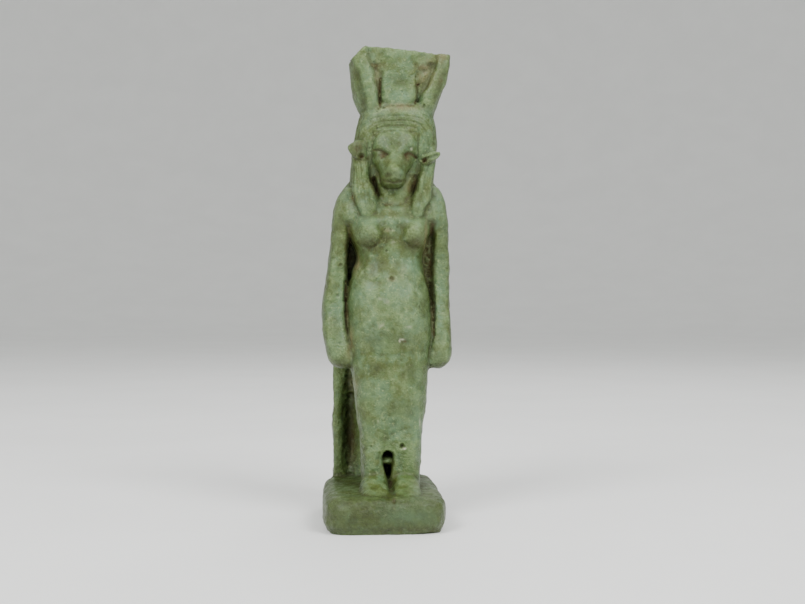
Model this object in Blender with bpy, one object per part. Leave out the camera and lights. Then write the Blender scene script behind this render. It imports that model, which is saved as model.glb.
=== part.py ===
"""Standing cow-headed goddess amulet in green faience.

The figure, its wig, broken crown, back pillar and plinth are moulded as one piece, so the model is
one solid. The figure faces -Y, +X is to the right of someone looking at its face, and the origin is
the middle of the flat underside. The figure's own shape is given in hundredths of its height.
"""

import math

import bmesh
import bpy
import numpy as np
from mathutils import Matrix, Vector

MM = 0.001

# Driving dimensions of the plinth and the back pillar that carry the figure.
PLINTH_WIDTH = 13.3 * MM
PLINTH_DEPTH = 18.5 * MM
PLINTH_HEIGHT = 3.8 * MM
PLINTH_EDGE = 0.6 * MM
PILLAR_FOOT_WIDTH = 10.3 * MM
PILLAR_HEAD_WIDTH = 8.2 * MM
PILLAR_THICKNESS = 2.8 * MM
PILLAR_OFFSET = -0.35 * MM
PILLAR_SETBACK = 0.25 * MM
EMBEDDING = 0.6 * MM

# The two lost stretches of the plinth's lower front edge: a long chip at +X, a corner at -X.
CHIP_LENGTH = 5.4 * MM
CHIP_HEIGHT = 0.95 * MM
CHIP_DEPTH = 1.6 * MM
CORNER_WIDTH = 1.3 * MM
CORNER_HEIGHT = 1.9 * MM
CORNER_DEPTH = 3.0 * MM

# Driving dimensions of the figure.
FIGURE_HEIGHT = 50.0 * MM
FIGURE_OFFSET = 1.0 * MM
LEAN = 1.15 * MM
UNIT = FIGURE_HEIGHT / 100

# How finely the clay is worked, how far its edges are worn and how many facets are kept.
CLAY_GRAIN = 0.17 * MM
WEAR_PASSES = 6
FACET_SHARE = 0.037

PILLAR_BACK_Y = PLINTH_DEPTH / 2 - PILLAR_SETBACK
PILLAR_FRONT_Y = PILLAR_BACK_Y - PILLAR_THICKNESS

LEFT, RIGHT = -1, 1


def smooth_through(stations, count):
    """Values read evenly along a curve that passes through the stations without overshooting.

    Each column is a cubic between neighbours; its slope at a station is the harmonic mean of the
    slopes on both sides, and zero at a turning point.
    """
    table = np.array(stations, float)
    steps = np.diff(table, axis=0)
    before, after = steps[:-1], steps[1:]
    same_way = before * after > 0
    total = np.where(same_way, before + after, 1.0)
    slope = np.zeros_like(table)
    slope[1:-1] = np.where(same_way, 2 * before * after / total, 0.0)
    slope[0], slope[-1] = steps[0], steps[-1]
    at = np.linspace(0, len(table) - 1, count)
    low = np.minimum(at.astype(int), len(table) - 2)
    t = (at - low)[:, None]
    return (
        table[low] * (1 + 2 * t) * (1 - t) ** 2
        + slope[low] * t * (1 - t) ** 2
        + table[low + 1] * t**2 * (3 - 2 * t)
        + slope[low + 1] * t**2 * (t - 1)
    )


def axis_x(height):
    """The figure's middle line: upright to the chest, then leaning towards +X up to the crown."""
    rise = np.clip((np.asarray(height, float) - 58) / 42, 0, 1)
    return FIGURE_OFFSET + LEAN * rise


def place(x, forward, height):
    """World point of figure coordinates: hundredths beside the middle line, before the pillar, up."""
    return Vector((
        float(axis_x(height)) + x * UNIT,
        PILLAR_FRONT_Y - forward * UNIT,
        PLINTH_HEIGHT + height * UNIT,
    ))


def loft(bm, centres, halves, across, along, sides=36, top=None):
    """A closed skin over superellipse rings with these centres, half sizes and squareness.

    top, if given, is the greatest height of a point as a function of its x.
    """
    rings = []
    for centre, (half_a, half_b, squareness) in zip(centres, halves):
        ring = []
        for k in range(sides):
            turn = math.tau * k / sides
            c, s = math.cos(turn), math.sin(turn)
            a = math.copysign(abs(c) ** (2 / squareness), c) * half_a
            b = math.copysign(abs(s) ** (2 / squareness), s) * half_b
            point = centre + across * a + along * b
            if top:
                point.z = min(point.z, top(point.x))
            ring.append(bm.verts.new(point))
        rings.append(ring)
    for low, high in zip(rings, rings[1:]):
        for k in range(sides):
            n = (k + 1) % sides
            bm.faces.new((low[k], low[n], high[n], high[k]))
    bm.faces.new(rings[0][::-1])
    bm.faces.new(rings[-1])


def upright(bm, stations, rings, top=None):
    """A limb or trunk of level rings: (x, height, half width, front, back, squareness)."""
    rows = smooth_through(stations, rings)
    centres = [place(x, (front + back) / 2, height) for x, height, _, front, back, _ in rows]
    halves = [(w * UNIT, (front - back) / 2 * UNIT, n) for _, _, w, front, back, n in rows]
    loft(bm, centres, halves, Vector((1, 0, 0)), Vector((0, 1, 0)), top=top)


def egg(bm, x, forward, height, half_x, half_y, half_z):
    """An ellipsoid in figure coordinates."""
    size = Matrix.Diagonal((half_x * UNIT, half_y * UNIT, half_z * UNIT, 1))
    at = Matrix.Translation(place(x, forward, height)) @ size
    bmesh.ops.create_uvsphere(bm, u_segments=32, v_segments=20, radius=1, matrix=at)


def plinth(bm):
    """A low block with worn edges. It starts below the ground, where it is cut off flat later."""
    half_w, half_d, edge = PLINTH_WIDTH / 2, PLINTH_DEPTH / 2, PLINTH_EDGE
    levels = [
        (-2 * edge, 0.5 * edge),
        (0, 0.5 * edge),
        (edge, 0),
        (PLINTH_HEIGHT - 0.8 * edge, 0),
        (PLINTH_HEIGHT - 0.2 * edge, 0.4 * edge),
        (PLINTH_HEIGHT, edge),
    ]
    centres = [Vector((0, 0, z)) for z, _ in levels]
    halves = [(half_w - inset, half_d - inset, 10.0) for _, inset in levels]
    loft(bm, centres, halves, Vector((1, 0, 0)), Vector((0, 1, 0)), sides=72)


def pillar(bm):
    """The back pillar: a slab, straight to the hips, then narrowing and leaning up to the crown."""
    middle_y = (PILLAR_FRONT_Y + PILLAR_BACK_Y) / 2
    narrowing = PILLAR_FOOT_WIDTH - PILLAR_HEAD_WIDTH
    centres, halves = [], []
    for height in np.linspace(-EMBEDDING / UNIT, 86, 24):
        t = min(max((height - 30) / 56, 0), 1)
        x = (1 - t) * PILLAR_OFFSET + t * float(axis_x(height))
        centres.append(Vector((x, middle_y, PLINTH_HEIGHT + height * UNIT)))
        halves.append(((PILLAR_FOOT_WIDTH - t * narrowing) / 2, PILLAR_THICKNESS / 2, 9.0))
    loft(bm, centres, halves, Vector((1, 0, 0)), Vector((0, 1, 0)), sides=56)


def trunk(bm):
    """Torso, hips and narrow skirt, and the clay left behind them."""
    upright(bm, [
        (0, 8.8, 6.7, 17.5, 7.2, 2.7),
        (0, 13.6, 7.3, 17.9, 6.0, 2.6),
        (0, 19.0, 8.2, 17.8, 4.8, 2.5),
        (0, 25.6, 8.8, 17.2, 3.2, 2.4),
        (0, 29.6, 9.2, 16.9, 1.6, 2.4),
        (0, 33.0, 9.5, 17.6, 0.0, 2.4),
        (0, 37.4, 9.6, 17.6, -1.0, 2.4),
        (0, 42.4, 9.2, 17.0, -1.0, 2.3),
        (0, 46.8, 8.5, 15.7, -1.0, 2.3),
        (0, 51.8, 7.8, 14.4, -1.0, 2.3),
        (0, 55.4, 8.8, 14.5, -1.0, 2.5),
        (0, 58.8, 9.9, 14.6, -1.0, 2.8),
        (0, 62.0, 10.0, 14.2, -1.0, 2.8),
        (0, 64.4, 9.4, 13.2, -1.0, 2.6),
        (0, 67.0, 7.6, 11.6, -1.0, 2.4),
    ], rings=64)
    # Sloping shoulders, joined to the upper arms.
    upright(bm, [
        (0, 56.6, 11.0, 8.6, -1.0, 3.0),
        (0, 58.6, 12.4, 10.6, -1.0, 2.9),
        (0, 62.0, 12.6, 11.4, -1.0, 2.8),
        (0, 65.2, 12.4, 10.8, -1.0, 2.6),
        (0, 67.2, 11.7, 9.8, -1.0, 2.5),
        (0, 69.0, 10.6, 8.4, -1.0, 2.4),
        (0, 70.4, 9.0, 7.0, -1.0, 2.4),
    ], rings=24)
    # Clay between the legs and the pillar, and between the arms.
    upright(bm, [
        (-0.4, -1.2, 4.4, 9.0, -1.0, 4.0),
        (-0.3, 9.0, 4.6, 9.0, -1.0, 4.0),
        (-0.2, 18.0, 4.8, 11.0, -1.0, 4.0),
        (0.0, 30.0, 6.6, 10.0, -1.0, 4.0),
    ], rings=10)
    upright(bm, [
        (0, 24.0, 8.0, 2.0, -1.0, 4.0),
        (0, 27.5, 10.4, 3.0, -1.0, 4.0),
        (0, 40.0, 11.8, 2.4, -1.0, 5.0),
        (0, 52.0, 11.6, 2.4, -1.0, 5.0),
        (0, 60.0, 11.0, 2.4, -1.0, 5.0),
    ], rings=12)


def leg(bm, side):
    """One leg below the hem, closing on the other around a drop-shaped gap, and its foot."""
    outer_low, outer_high, toe, foot_x = (-6.7, -6.9, 26.8, -3.9)
    if side == RIGHT:
        outer_low, outer_high, toe, foot_x = (6.5, 6.9, 27.8, 3.0)
    middle, rows = -0.8, []
    for height, half_gap in (
        (-1.2, 0.0), (1.4, 0.2), (3.4, 0.8), (5.2, 1.2), (6.8, 1.35), (7.9, 1.0), (8.8, -0.6), (15.0, -2.0)
    ):
        inner = middle + side * half_gap
        outer = outer_low + (outer_high - outer_low) * max(height, 0) / 9.4
        rows.append(((inner + outer) / 2, height, abs(outer - inner) / 2, 17.5, 7.0, 2.9))
    upright(bm, rows, rings=32)
    stations = [
        (foot_x, 9.0, 1.2, 2.6, 2.8),
        (foot_x, 14.0, 1.4, 2.9, 3.0),
        (foot_x, 18.6, 0.5, 2.9, 2.4),
        (foot_x, toe - 4.6, -0.1, 2.9, 1.6),
        (foot_x, toe - 1.4, -0.4, 2.6, 1.2),
        (foot_x, toe, -0.6, 1.6, 0.8),
    ]
    rows = smooth_through(stations, 22)
    centres = [place(x, forward, height) for x, forward, height, _, _ in rows]
    halves = [(a * UNIT, b * UNIT, 2.3) for _, _, _, a, b in rows]
    loft(bm, centres, halves, Vector((1, 0, 0)), Vector((0, 0, 1)))


def arm(bm, side):
    """A hanging arm and its closed hand. The arm on the -X side bends out more at the elbow."""
    if side == LEFT:
        stations = [
            (-10.6, 65.4, 2.2, 9.4, 1.0, 2.3),
            (-11.1, 61.0, 2.3, 10.6, 1.0, 2.5),
            (-11.3, 56.8, 2.1, 10.6, 1.0, 2.6),
            (-11.9, 50.6, 2.2, 10.6, 0.6, 2.8),
            (-12.3, 45.4, 2.65, 10.8, 0.6, 2.9),
            (-12.6, 40.5, 3.1, 11.0, 0.6, 2.9),
            (-12.5, 35.4, 3.0, 12.0, 1.6, 2.8),
            (-12.0, 31.4, 2.9, 13.0, 3.4, 2.7),
            (-11.4, 28.8, 2.7, 13.2, 5.4, 2.5),
            (-11.0, 27.4, 2.2, 12.6, 6.4, 2.3),
            (-10.6, 26.6, 1.3, 11.4, 7.4, 2.1),
        ]
    else:
        stations = [
            (10.4, 65.6, 2.2, 9.4, 1.0, 2.3),
            (11.2, 61.0, 2.3, 10.6, 1.0, 2.5),
            (11.7, 56.8, 2.0, 10.6, 1.0, 2.6),
            (11.7, 51.8, 2.2, 10.6, 0.6, 2.8),
            (11.8, 42.8, 2.3, 10.8, 0.6, 2.8),
            (11.7, 36.4, 2.45, 11.6, 1.6, 2.7),
            (11.6, 31.0, 2.6, 12.8, 3.4, 2.6),
            (11.4, 28.6, 2.5, 13.2, 5.4, 2.5),
            (11.0, 27.2, 2.0, 12.6, 6.4, 2.3),
            (10.8, 26.4, 1.1, 11.4, 7.4, 2.1),
        ]
    upright(bm, stations, rings=48)
    # The hand rests against the thigh.
    egg(bm, side * 9.4, 11.4, 28.9, 2.6, 2.6, 2.6)


def breast(bm, side):
    x = -5.1 if side == LEFT else 5.5
    egg(bm, x, 13.2, 56.8, 3.0, 3.3, 2.8)
    egg(bm, x, 12.6, 58.6, 2.9, 2.8, 2.8)


def wig(bm):
    """Cap of the three-part wig and its two front locks, which slope in over the chest."""
    upright(bm, [
        (0.0, 64.0, 7.6, 8.0, -1.0, 3.0),
        (0.0, 67.0, 9.4, 9.0, -1.0, 3.0),
        (0.0, 70.0, 9.8, 10.4, -1.0, 2.9),
        (0.0, 73.4, 9.8, 12.4, -1.0, 2.9),
        (0.2, 77.0, 9.8, 13.9, -1.0, 2.9),
        (0.2, 81.0, 9.4, 14.4, -1.0, 2.9),
        (0.2, 84.0, 8.7, 14.0, -1.0, 2.9),
        (0.1, 86.6, 7.8, 13.0, -1.0, 2.9),
    ], rings=36)
    upright(bm, [
        (-7.4, 78.0, 2.5, 13.2, 6.0, 3.0),
        (-7.3, 73.0, 2.8, 13.6, 7.0, 3.1),
        (-6.8, 69.4, 2.9, 14.2, 8.0, 3.3),
        (-6.0, 65.4, 2.6, 14.9, 9.0, 3.6),
        (-5.3, 62.0, 2.1, 15.4, 10.0, 3.8),
        (-5.2, 60.9, 1.9, 15.2, 10.0, 3.8),
    ], rings=26)
    upright(bm, [
        (7.6, 78.0, 2.3, 13.0, 6.0, 3.0),
        (7.7, 73.0, 2.4, 13.6, 7.0, 3.1),
        (7.3, 69.4, 2.4, 14.2, 8.0, 3.3),
        (6.4, 65.4, 2.4, 14.9, 9.0, 3.6),
        (5.6, 62.0, 2.2, 15.4, 10.0, 3.8),
        (5.5, 60.9, 2.0, 15.2, 10.0, 3.8),
    ], rings=26)


def head(bm):
    """Broad brow and cheeks running down to the throat, and the cow's muzzle in front of them."""
    upright(bm, [
        (-0.5, 61.0, 3.2, 12.8, 4.0, 2.2),
        (-0.4, 64.6, 2.7, 13.0, 4.0, 2.2),
        (-0.5, 66.8, 3.1, 13.4, 4.0, 2.2),
        (-0.5, 69.4, 4.4, 14.3, 4.0, 2.3),
        (-0.5, 72.2, 5.2, 15.0, 4.0, 2.4),
        (-0.5, 75.4, 5.6, 15.6, 4.0, 2.5),
        (-0.5, 78.6, 5.4, 15.6, 4.0, 2.6),
        (-0.5, 80.6, 4.9, 14.9, 4.0, 2.6),
    ], rings=40)
    upright(bm, [
        (-0.5, 80.0, 3.0, 15.0, 8.0, 2.2),
        (-0.5, 76.4, 3.0, 16.3, 8.0, 2.2),
        (-0.6, 73.6, 3.1, 17.9, 8.0, 2.1),
        (-0.7, 71.4, 3.3, 19.6, 8.0, 2.2),
        (-0.7, 69.8, 3.3, 20.4, 8.0, 2.3),
        (-0.7, 68.4, 3.0, 19.8, 8.0, 2.3),
        (-0.7, 67.2, 2.3, 18.2, 8.0, 2.2),
    ], rings=34)
    # Clay left standing beside the neck on the +X side.
    egg(bm, 4.6, 10.6, 68.6, 2.2, 3.0, 4.4)


def ear(bm, side):
    """A leaf-shaped cow's ear standing out sideways; the one on the -X side is broader."""
    if side == LEFT:
        stations = [
            (5.2, 13.2, 74.6, 0.8, 1.0),
            (6.6, 13.6, 74.9, 1.1, 1.9),
            (8.0, 13.6, 75.6, 1.1, 2.1),
            (9.4, 13.2, 76.4, 1.0, 1.7),
            (10.6, 12.6, 77.2, 0.6, 0.8),
        ]
    else:
        stations = [
            (5.4, 13.2, 74.4, 0.8, 0.9),
            (6.6, 13.4, 74.7, 1.0, 1.25),
            (8.2, 13.2, 75.3, 1.0, 1.35),
            (9.6, 12.8, 75.8, 0.8, 1.0),
            (10.7, 12.2, 76.2, 0.5, 0.45),
        ]
    rows = smooth_through(stations, 18)
    centres = [place(side * x, forward, height) for x, forward, height, _, _ in rows]
    halves = [(a * UNIT, b * UNIT, 2.0) for _, _, _, a, b in rows]
    loft(bm, centres, halves, Vector((0, 1, 0)), Vector((0, 0, 1)), sides=24)


def break_height(x):
    """Height of the crown's broken top at x: a slow fall to +X and a lost corner at -X."""
    middle = float(axis_x(100))
    across = (x - middle) / UNIT
    level = 99.2 - 0.1 * across
    if across < -8.2:
        level += (across + 8.2) * 1.1
    return PLINTH_HEIGHT + level * UNIT


def crown(bm):
    """Low round base, slab, sun disc and two spreading horns, all broken off near the top."""
    upright(bm, [
        (0.4, 84.4, 7.4, 13.2, -1.0, 2.6),
        (0.4, 86.0, 7.7, 13.4, -1.0, 2.6),
        (0.4, 87.2, 7.4, 12.6, -1.0, 2.6),
    ], rings=8)
    upright(bm, [
        (0.4, 85.4, 7.4, 11.0, 0.0, 2.8),
        (0.0, 87.6, 8.8, 11.2, 0.6, 3.0),
        (-0.3, 89.6, 9.7, 11.4, 1.0, 3.0),
        (0.0, 92.6, 10.4, 11.6, 2.2, 3.0),
        (0.1, 97.0, 11.1, 12.0, 3.2, 3.0),
        (0.2, 102.0, 11.4, 12.2, 3.4, 3.0),
    ], rings=20, top=break_height)
    # The pillar's head, sloping forward into the back of the crown.
    upright(bm, [
        (0.2, 82.0, 7.9, 3.0, -4.6, 5.0),
        (0.2, 86.0, 8.0, 4.0, -4.9, 5.0),
        (0.2, 89.0, 7.9, 5.0, -3.6, 4.0),
        (0.2, 92.0, 7.6, 6.0, -0.6, 4.0),
        (0.2, 95.0, 6.8, 6.0, 2.6, 4.0),
    ], rings=20)
    # The sun disc, worn to a square block, and the flat strip that joins it to the horns' tops.
    upright(bm, [
        (0.2, 86.2, 2.2, 12.4, 8.0, 3.6),
        (0.2, 87.2, 3.4, 13.1, 8.0, 3.6),
        (0.1, 89.2, 3.8, 13.4, 8.0, 3.6),
        (0.0, 96.6, 3.8, 13.2, 8.0, 3.6),
    ], rings=14)
    upright(bm, [
        (0.2, 95.4, 8.6, 12.4, 5.0, 4.0),
        (0.2, 96.4, 9.6, 13.1, 5.0, 4.0),
        (0.2, 102.0, 10.6, 13.2, 4.0, 4.0),
    ], rings=8, top=break_height)
    # Each horn is a raised ridge that leans outwards, with a rounded flank outside it.
    for ridge, flank in (
        (((-4.3, 1.5), (-5.2, 1.8), (-6.8, 2.0), (-8.4, 2.2), (-9.8, 2.2)),
         ((-5.0, 2.6), (-6.8, 2.9), (-8.2, 2.4), (-9.3, 1.9), (-9.8, 1.8))),
        (((5.8, 1.5), (6.5, 1.7), (8.4, 1.8), (9.7, 1.6), (10.0, 1.6)),
         ((6.2, 2.2), (7.2, 2.3), (8.8, 1.9), (9.8, 1.6), (10.0, 1.6))),
    ):
        levels = (85.8, 88.0, 92.0, 96.4, 102.0)
        rows = [(x, level, half, 13.7, 3.0, 2.3) for level, (x, half) in zip(levels, ridge)]
        upright(bm, rows, rings=20, top=break_height)
        rows = [(x, level, half, 12.8, 3.0, 2.3) for level, (x, half) in zip(levels, flank)]
        upright(bm, rows, rings=20, top=break_height)


def clay_mesh():
    """All masses in one mesh, ready to be pressed together into a single skin."""
    bm = bmesh.new()
    plinth(bm)
    pillar(bm)
    trunk(bm)
    wig(bm)
    head(bm)
    crown(bm)
    for side in (LEFT, RIGHT):
        leg(bm, side)
        arm(bm, side)
        breast(bm, side)
        ear(bm, side)
    bmesh.ops.recalc_face_normals(bm, faces=bm.faces)
    mesh = bpy.data.meshes.new("clay")
    bm.to_mesh(mesh)
    bm.free()
    return mesh


def press(points, facing, x, height, half_x, half_z, depth, reach=(-99, 99)):
    """Dents the front where a soft round thumb of this half size presses it in by depth.

    reach is the span of forward distances, in hundredths, that the press can touch.
    """
    middle = axis_x(height) + x * UNIT
    level = PLINTH_HEIGHT + height * UNIT
    across = (points[:, 0] - middle) / (half_x * UNIT)
    up = (points[:, 2] - level) / (half_z * UNIT)
    forward = (PILLAR_FRONT_Y - points[:, 1]) / UNIT
    inside = (forward > reach[0]) & (forward < reach[1])
    points[:, 1] += depth * UNIT * np.exp(-(across**2) - up**2) * facing * inside


def wig_lines(points, facing):
    """Grooves around the face: level arcs above it, running straight down the front locks."""
    height = (points[:, 2] - PLINTH_HEIGHT) / UNIT
    forward = (PILLAR_FRONT_Y - points[:, 1]) / UNIT
    across = np.abs((points[:, 0] - axis_x(height)) / UNIT + 0.4)
    above = np.clip(height - 74.4, 0, None) * 0.97
    ring = (across**3 + above**3) ** (1 / 3)
    below = np.clip((73.0 - height) / 12, 0, 1)
    ring = ring + below * 2.2
    on_wig = (height > 61.4) & (height < 85.0) & (forward > 7.0) & (ring > 7.4) & (ring < 11.4)
    wave = 0.5 - 0.5 * np.cos(math.tau * (ring - 7.4) / 0.95)
    points[:, 1] += 0.22 * UNIT * wave * facing * on_wig


def carve(mesh):
    """Presses the small features into the front of the clay."""
    count = len(mesh.vertices)
    points = np.empty(count * 3)
    mesh.vertices.foreach_get("co", points)
    points = points.reshape(-1, 3)
    normals = np.empty(count * 3)
    mesh.vertex_normals.foreach_get("vector", normals)
    facing = np.clip(-normals.reshape(-1, 3)[:, 1], 0, 1)
    wig_lines(points, facing)
    for side in (LEFT, RIGHT):
        press(points, facing, side * 2.8 - 0.5, 74.3, 1.25, 0.75, 0.9, (13, 99))
        press(points, facing, side * 3.1 - 0.5, 76.6, 1.9, 0.6, -0.35, (13, 99))
        press(points, facing, side * 0.9 - 0.7, 70.7, 0.45, 0.35, 0.5, (17, 99))
        press(points, facing, side * 7.8, 75.3, 1.4, 0.8, 0.7, (10, 15))
    press(points, facing, -0.7, 68.6, 2.2, 0.35, 0.55, (16, 99))
    press(points, facing, 0.1, 46.9, 0.7, 0.8, 0.45)
    press(points, facing, 0.0, 30.1, 8.0, 0.7, 0.35)
    press(points, facing, -9.4, 13.0, 1.8, 11.0, 1.4, (-2, 5))
    mesh.vertices.foreach_set("co", points.ravel())
    mesh.update()


def settled(mesh, modifiers):
    """The mesh as these modifiers leave it; each is (type, {setting: value})."""
    holder = bpy.data.objects.new("holder", mesh)
    bpy.context.scene.collection.objects.link(holder)
    for kind, values in modifiers:
        modifier = holder.modifiers.new(kind.title(), kind)
        for name, value in values.items():
            setattr(modifier, name, value)
    graph = bpy.context.evaluated_depsgraph_get()
    result = bpy.data.meshes.new_from_object(holder.evaluated_get(graph))
    bpy.data.objects.remove(holder)
    return result


def faience():
    """Pale green glaze, worn to a waxy sheen."""
    material = bpy.data.materials.new("faience")
    material.use_nodes = True
    shader = material.node_tree.nodes["Principled BSDF"]
    shader.inputs["Base Color"].default_value = (0.27, 0.34, 0.2, 1)
    shader.inputs["Roughness"].default_value = 0.5
    shader.inputs["Metallic"].default_value = 0
    return material


def cut_off(bm, corners):
    """Cuts away, and closes flat, what lies on the outer side of the plane through three points.

    The points run anticlockwise as seen from outside.
    """
    first, second, third = (Vector(corner) for corner in corners)
    normal = (second - first).cross(third - first)
    everything = bm.verts[:] + bm.edges[:] + bm.faces[:]
    cut = bmesh.ops.bisect_plane(bm, geom=everything, plane_co=first, plane_no=normal, clear_outer=True)
    rim = [e for e in cut["geom_cut"] if isinstance(e, bmesh.types.BMEdge)]
    bmesh.ops.holes_fill(bm, edges=rim)


def chips():
    """Planes of the two lost stretches of the plinth's lower front edge."""
    side, front = PLINTH_WIDTH / 2, -PLINTH_DEPTH / 2
    right = ((side - CHIP_LENGTH, front, 0), (side, front + CHIP_DEPTH, 0), (side, front, CHIP_HEIGHT))
    left = ((-side, front + CORNER_DEPTH, 0), (CORNER_WIDTH - side, front, 0), (-side, front, CORNER_HEIGHT))
    return right, left


def statue():
    clay = settled(clay_mesh(), [
        ("REMESH", {"mode": "VOXEL", "voxel_size": CLAY_GRAIN}),
        ("SMOOTH", {"factor": 0.5, "iterations": WEAR_PASSES}),
    ])
    carve(clay)
    fired = settled(clay, [("DECIMATE", {"ratio": FACET_SHARE})])
    bm = bmesh.new()
    bm.from_mesh(fired)
    cut_off(bm, ((0, 0, 0), (0, UNIT, 0), (UNIT, 0, 0)))
    for corners in chips():
        cut_off(bm, corners)
    bmesh.ops.recalc_face_normals(bm, faces=bm.faces)
    bm.to_mesh(fired)
    bm.free()
    fired.name = "hathor_statue"
    fired.shade_smooth()
    fired.materials.append(faience())
    return bpy.data.objects.new("hathor_statue", fired)


def main():
    for old in list(bpy.data.objects):
        bpy.data.objects.remove(old)
    figure = statue()
    bpy.context.scene.collection.objects.link(figure)


main()
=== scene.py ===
"""Looks of a small amulet in green faience: a standing cow-headed goddess before her back pillar.

The whole amulet is one moulded piece. Its masses are laid down in millimetres, pressed into one skin,
carved, pitted and worn, and then glazed. The figure faces -Y and stands on z = 0. Its own shape is
given in hundredths of its height: x beside its middle line, forward of the pillar, and height above
the plinth.
"""

import math

import bmesh
import bpy
import numpy as np
from mathutils import Matrix, Vector


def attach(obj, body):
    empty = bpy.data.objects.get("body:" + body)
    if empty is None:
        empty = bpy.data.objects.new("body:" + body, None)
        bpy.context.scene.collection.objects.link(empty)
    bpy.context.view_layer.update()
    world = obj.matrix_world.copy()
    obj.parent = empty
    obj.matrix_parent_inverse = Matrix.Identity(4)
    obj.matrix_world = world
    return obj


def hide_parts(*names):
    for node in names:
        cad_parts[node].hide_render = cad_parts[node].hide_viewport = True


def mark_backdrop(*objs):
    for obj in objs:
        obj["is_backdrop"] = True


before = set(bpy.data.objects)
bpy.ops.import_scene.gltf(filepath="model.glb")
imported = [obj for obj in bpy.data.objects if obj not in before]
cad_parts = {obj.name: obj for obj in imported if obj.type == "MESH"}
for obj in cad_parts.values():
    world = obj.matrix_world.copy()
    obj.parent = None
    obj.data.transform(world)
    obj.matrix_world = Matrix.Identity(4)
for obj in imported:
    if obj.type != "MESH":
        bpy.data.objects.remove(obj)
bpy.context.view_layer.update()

MM = 0.001
TAU = math.tau
LEFT, RIGHT = -1, 1
EAST, NORTH, UP = np.eye(3)

# Plinth and back pillar, in millimetres.
PLINTH_WIDTH = 13.3
PLINTH_DEPTH = 18.5
PLINTH_HEIGHT = 3.8
PLINTH_EDGE = 1.25
PILLAR_FOOT_WIDTH = 10.3
PILLAR_HEAD_WIDTH = 8.2
PILLAR_THICKNESS = 2.8
PILLAR_OFFSET = -0.35
PILLAR_BACK_Y = 9.0
PILLAR_FRONT_Y = PILLAR_BACK_Y - PILLAR_THICKNESS
EMBEDDING = 0.6

# The two lost stretches of the plinth's lower front edge: a long chip at +X, a corner at -X.
CHIP_LENGTH = 5.4
CHIP_HEIGHT = 0.95
CHIP_DEPTH = 1.6
CORNER_WIDTH = 1.3
CORNER_HEIGHT = 1.9
CORNER_DEPTH = 3.0

# The figure: one unit is a hundredth of its height.
UNIT = 0.5
FIGURE_OFFSET = 1.0
LEAN = 1.15

# Lines of the face, as (x, height) in figure units: the mouth across the muzzle and both upper eyelids.
MOUTH = ((-2.8, 69.3), (-1.9, 68.6), (-0.3, 68.2), (1.2, 68.5), (2.4, 69.2))
LEFT_LID = ((-4.7, 76.0), (-3.6, 75.8), (-2.7, 75.4), (-1.9, 74.7))
RIGHT_LID = ((2.0, 74.8), (3.0, 75.2), (4.0, 75.0), (4.8, 74.6))

# Burst bubbles seen in the front, as (x, height, forward, radius, depth), and how many more are strewn.
NAMED_PITS = [
    (0.8, 89.5, 13, 0.32, 0.5), (1.8, 88.7, 13, 0.24, 0.4), (-3.2, 85.95, 13, 0.36, 0.6),
    (-4.4, 85.7, 13, 0.32, 0.5), (5.9, 86.2, 13, 0.42, 0.5), (4.6, 91.1, 12, 0.3, 0.35),
    (4.2, 95.3, 12, 0.45, 0.6), (-5.0, 95.6, 12, 0.5, 0.6), (-6.5, 93.9, 12, 0.3, 0.5),
    (-1.3, 58.0, 14.5, 0.3, 0.35), (-0.1, 58.0, 14.5, 0.3, 0.35), (-1.2, 54.5, 14.4, 0.3, 0.3),
    (-11.3, 50.2, 10.5, 0.36, 0.45), (-12.0, 43.2, 10.8, 0.38, 0.35),
    (-10.4, 36.3, 11.0, 0.3, 0.4), (6.6, 40.6, 15.3, 0.34, 0.4), (10.1, 33.0, 11.8, 0.36, 0.4),
    (2.4, 63.9, 13.4, 0.26, 0.35), (7.7, 64.5, 14.6, 0.26, 0.4), (8.4, 62.6, 11.6, 0.26, 0.3),
    (8.8, 68.9, 13.8, 0.3, 0.4), (-6.1, -1.9, 30.9, 0.3, 0.3), (2.3, 9.5, 17.5, 0.5, 0.9),
    (-8.9, 65.8, 9.3, 0.5, 1.0), (2.9, 32.8, 17.4, 0.3, 0.5), (-1.6, 26.0, 17.0, 0.2, 0.25),
    (4.9, 23.0, 17.2, 0.24, 0.25),
]
RANDOM_PITS = 210

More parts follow.
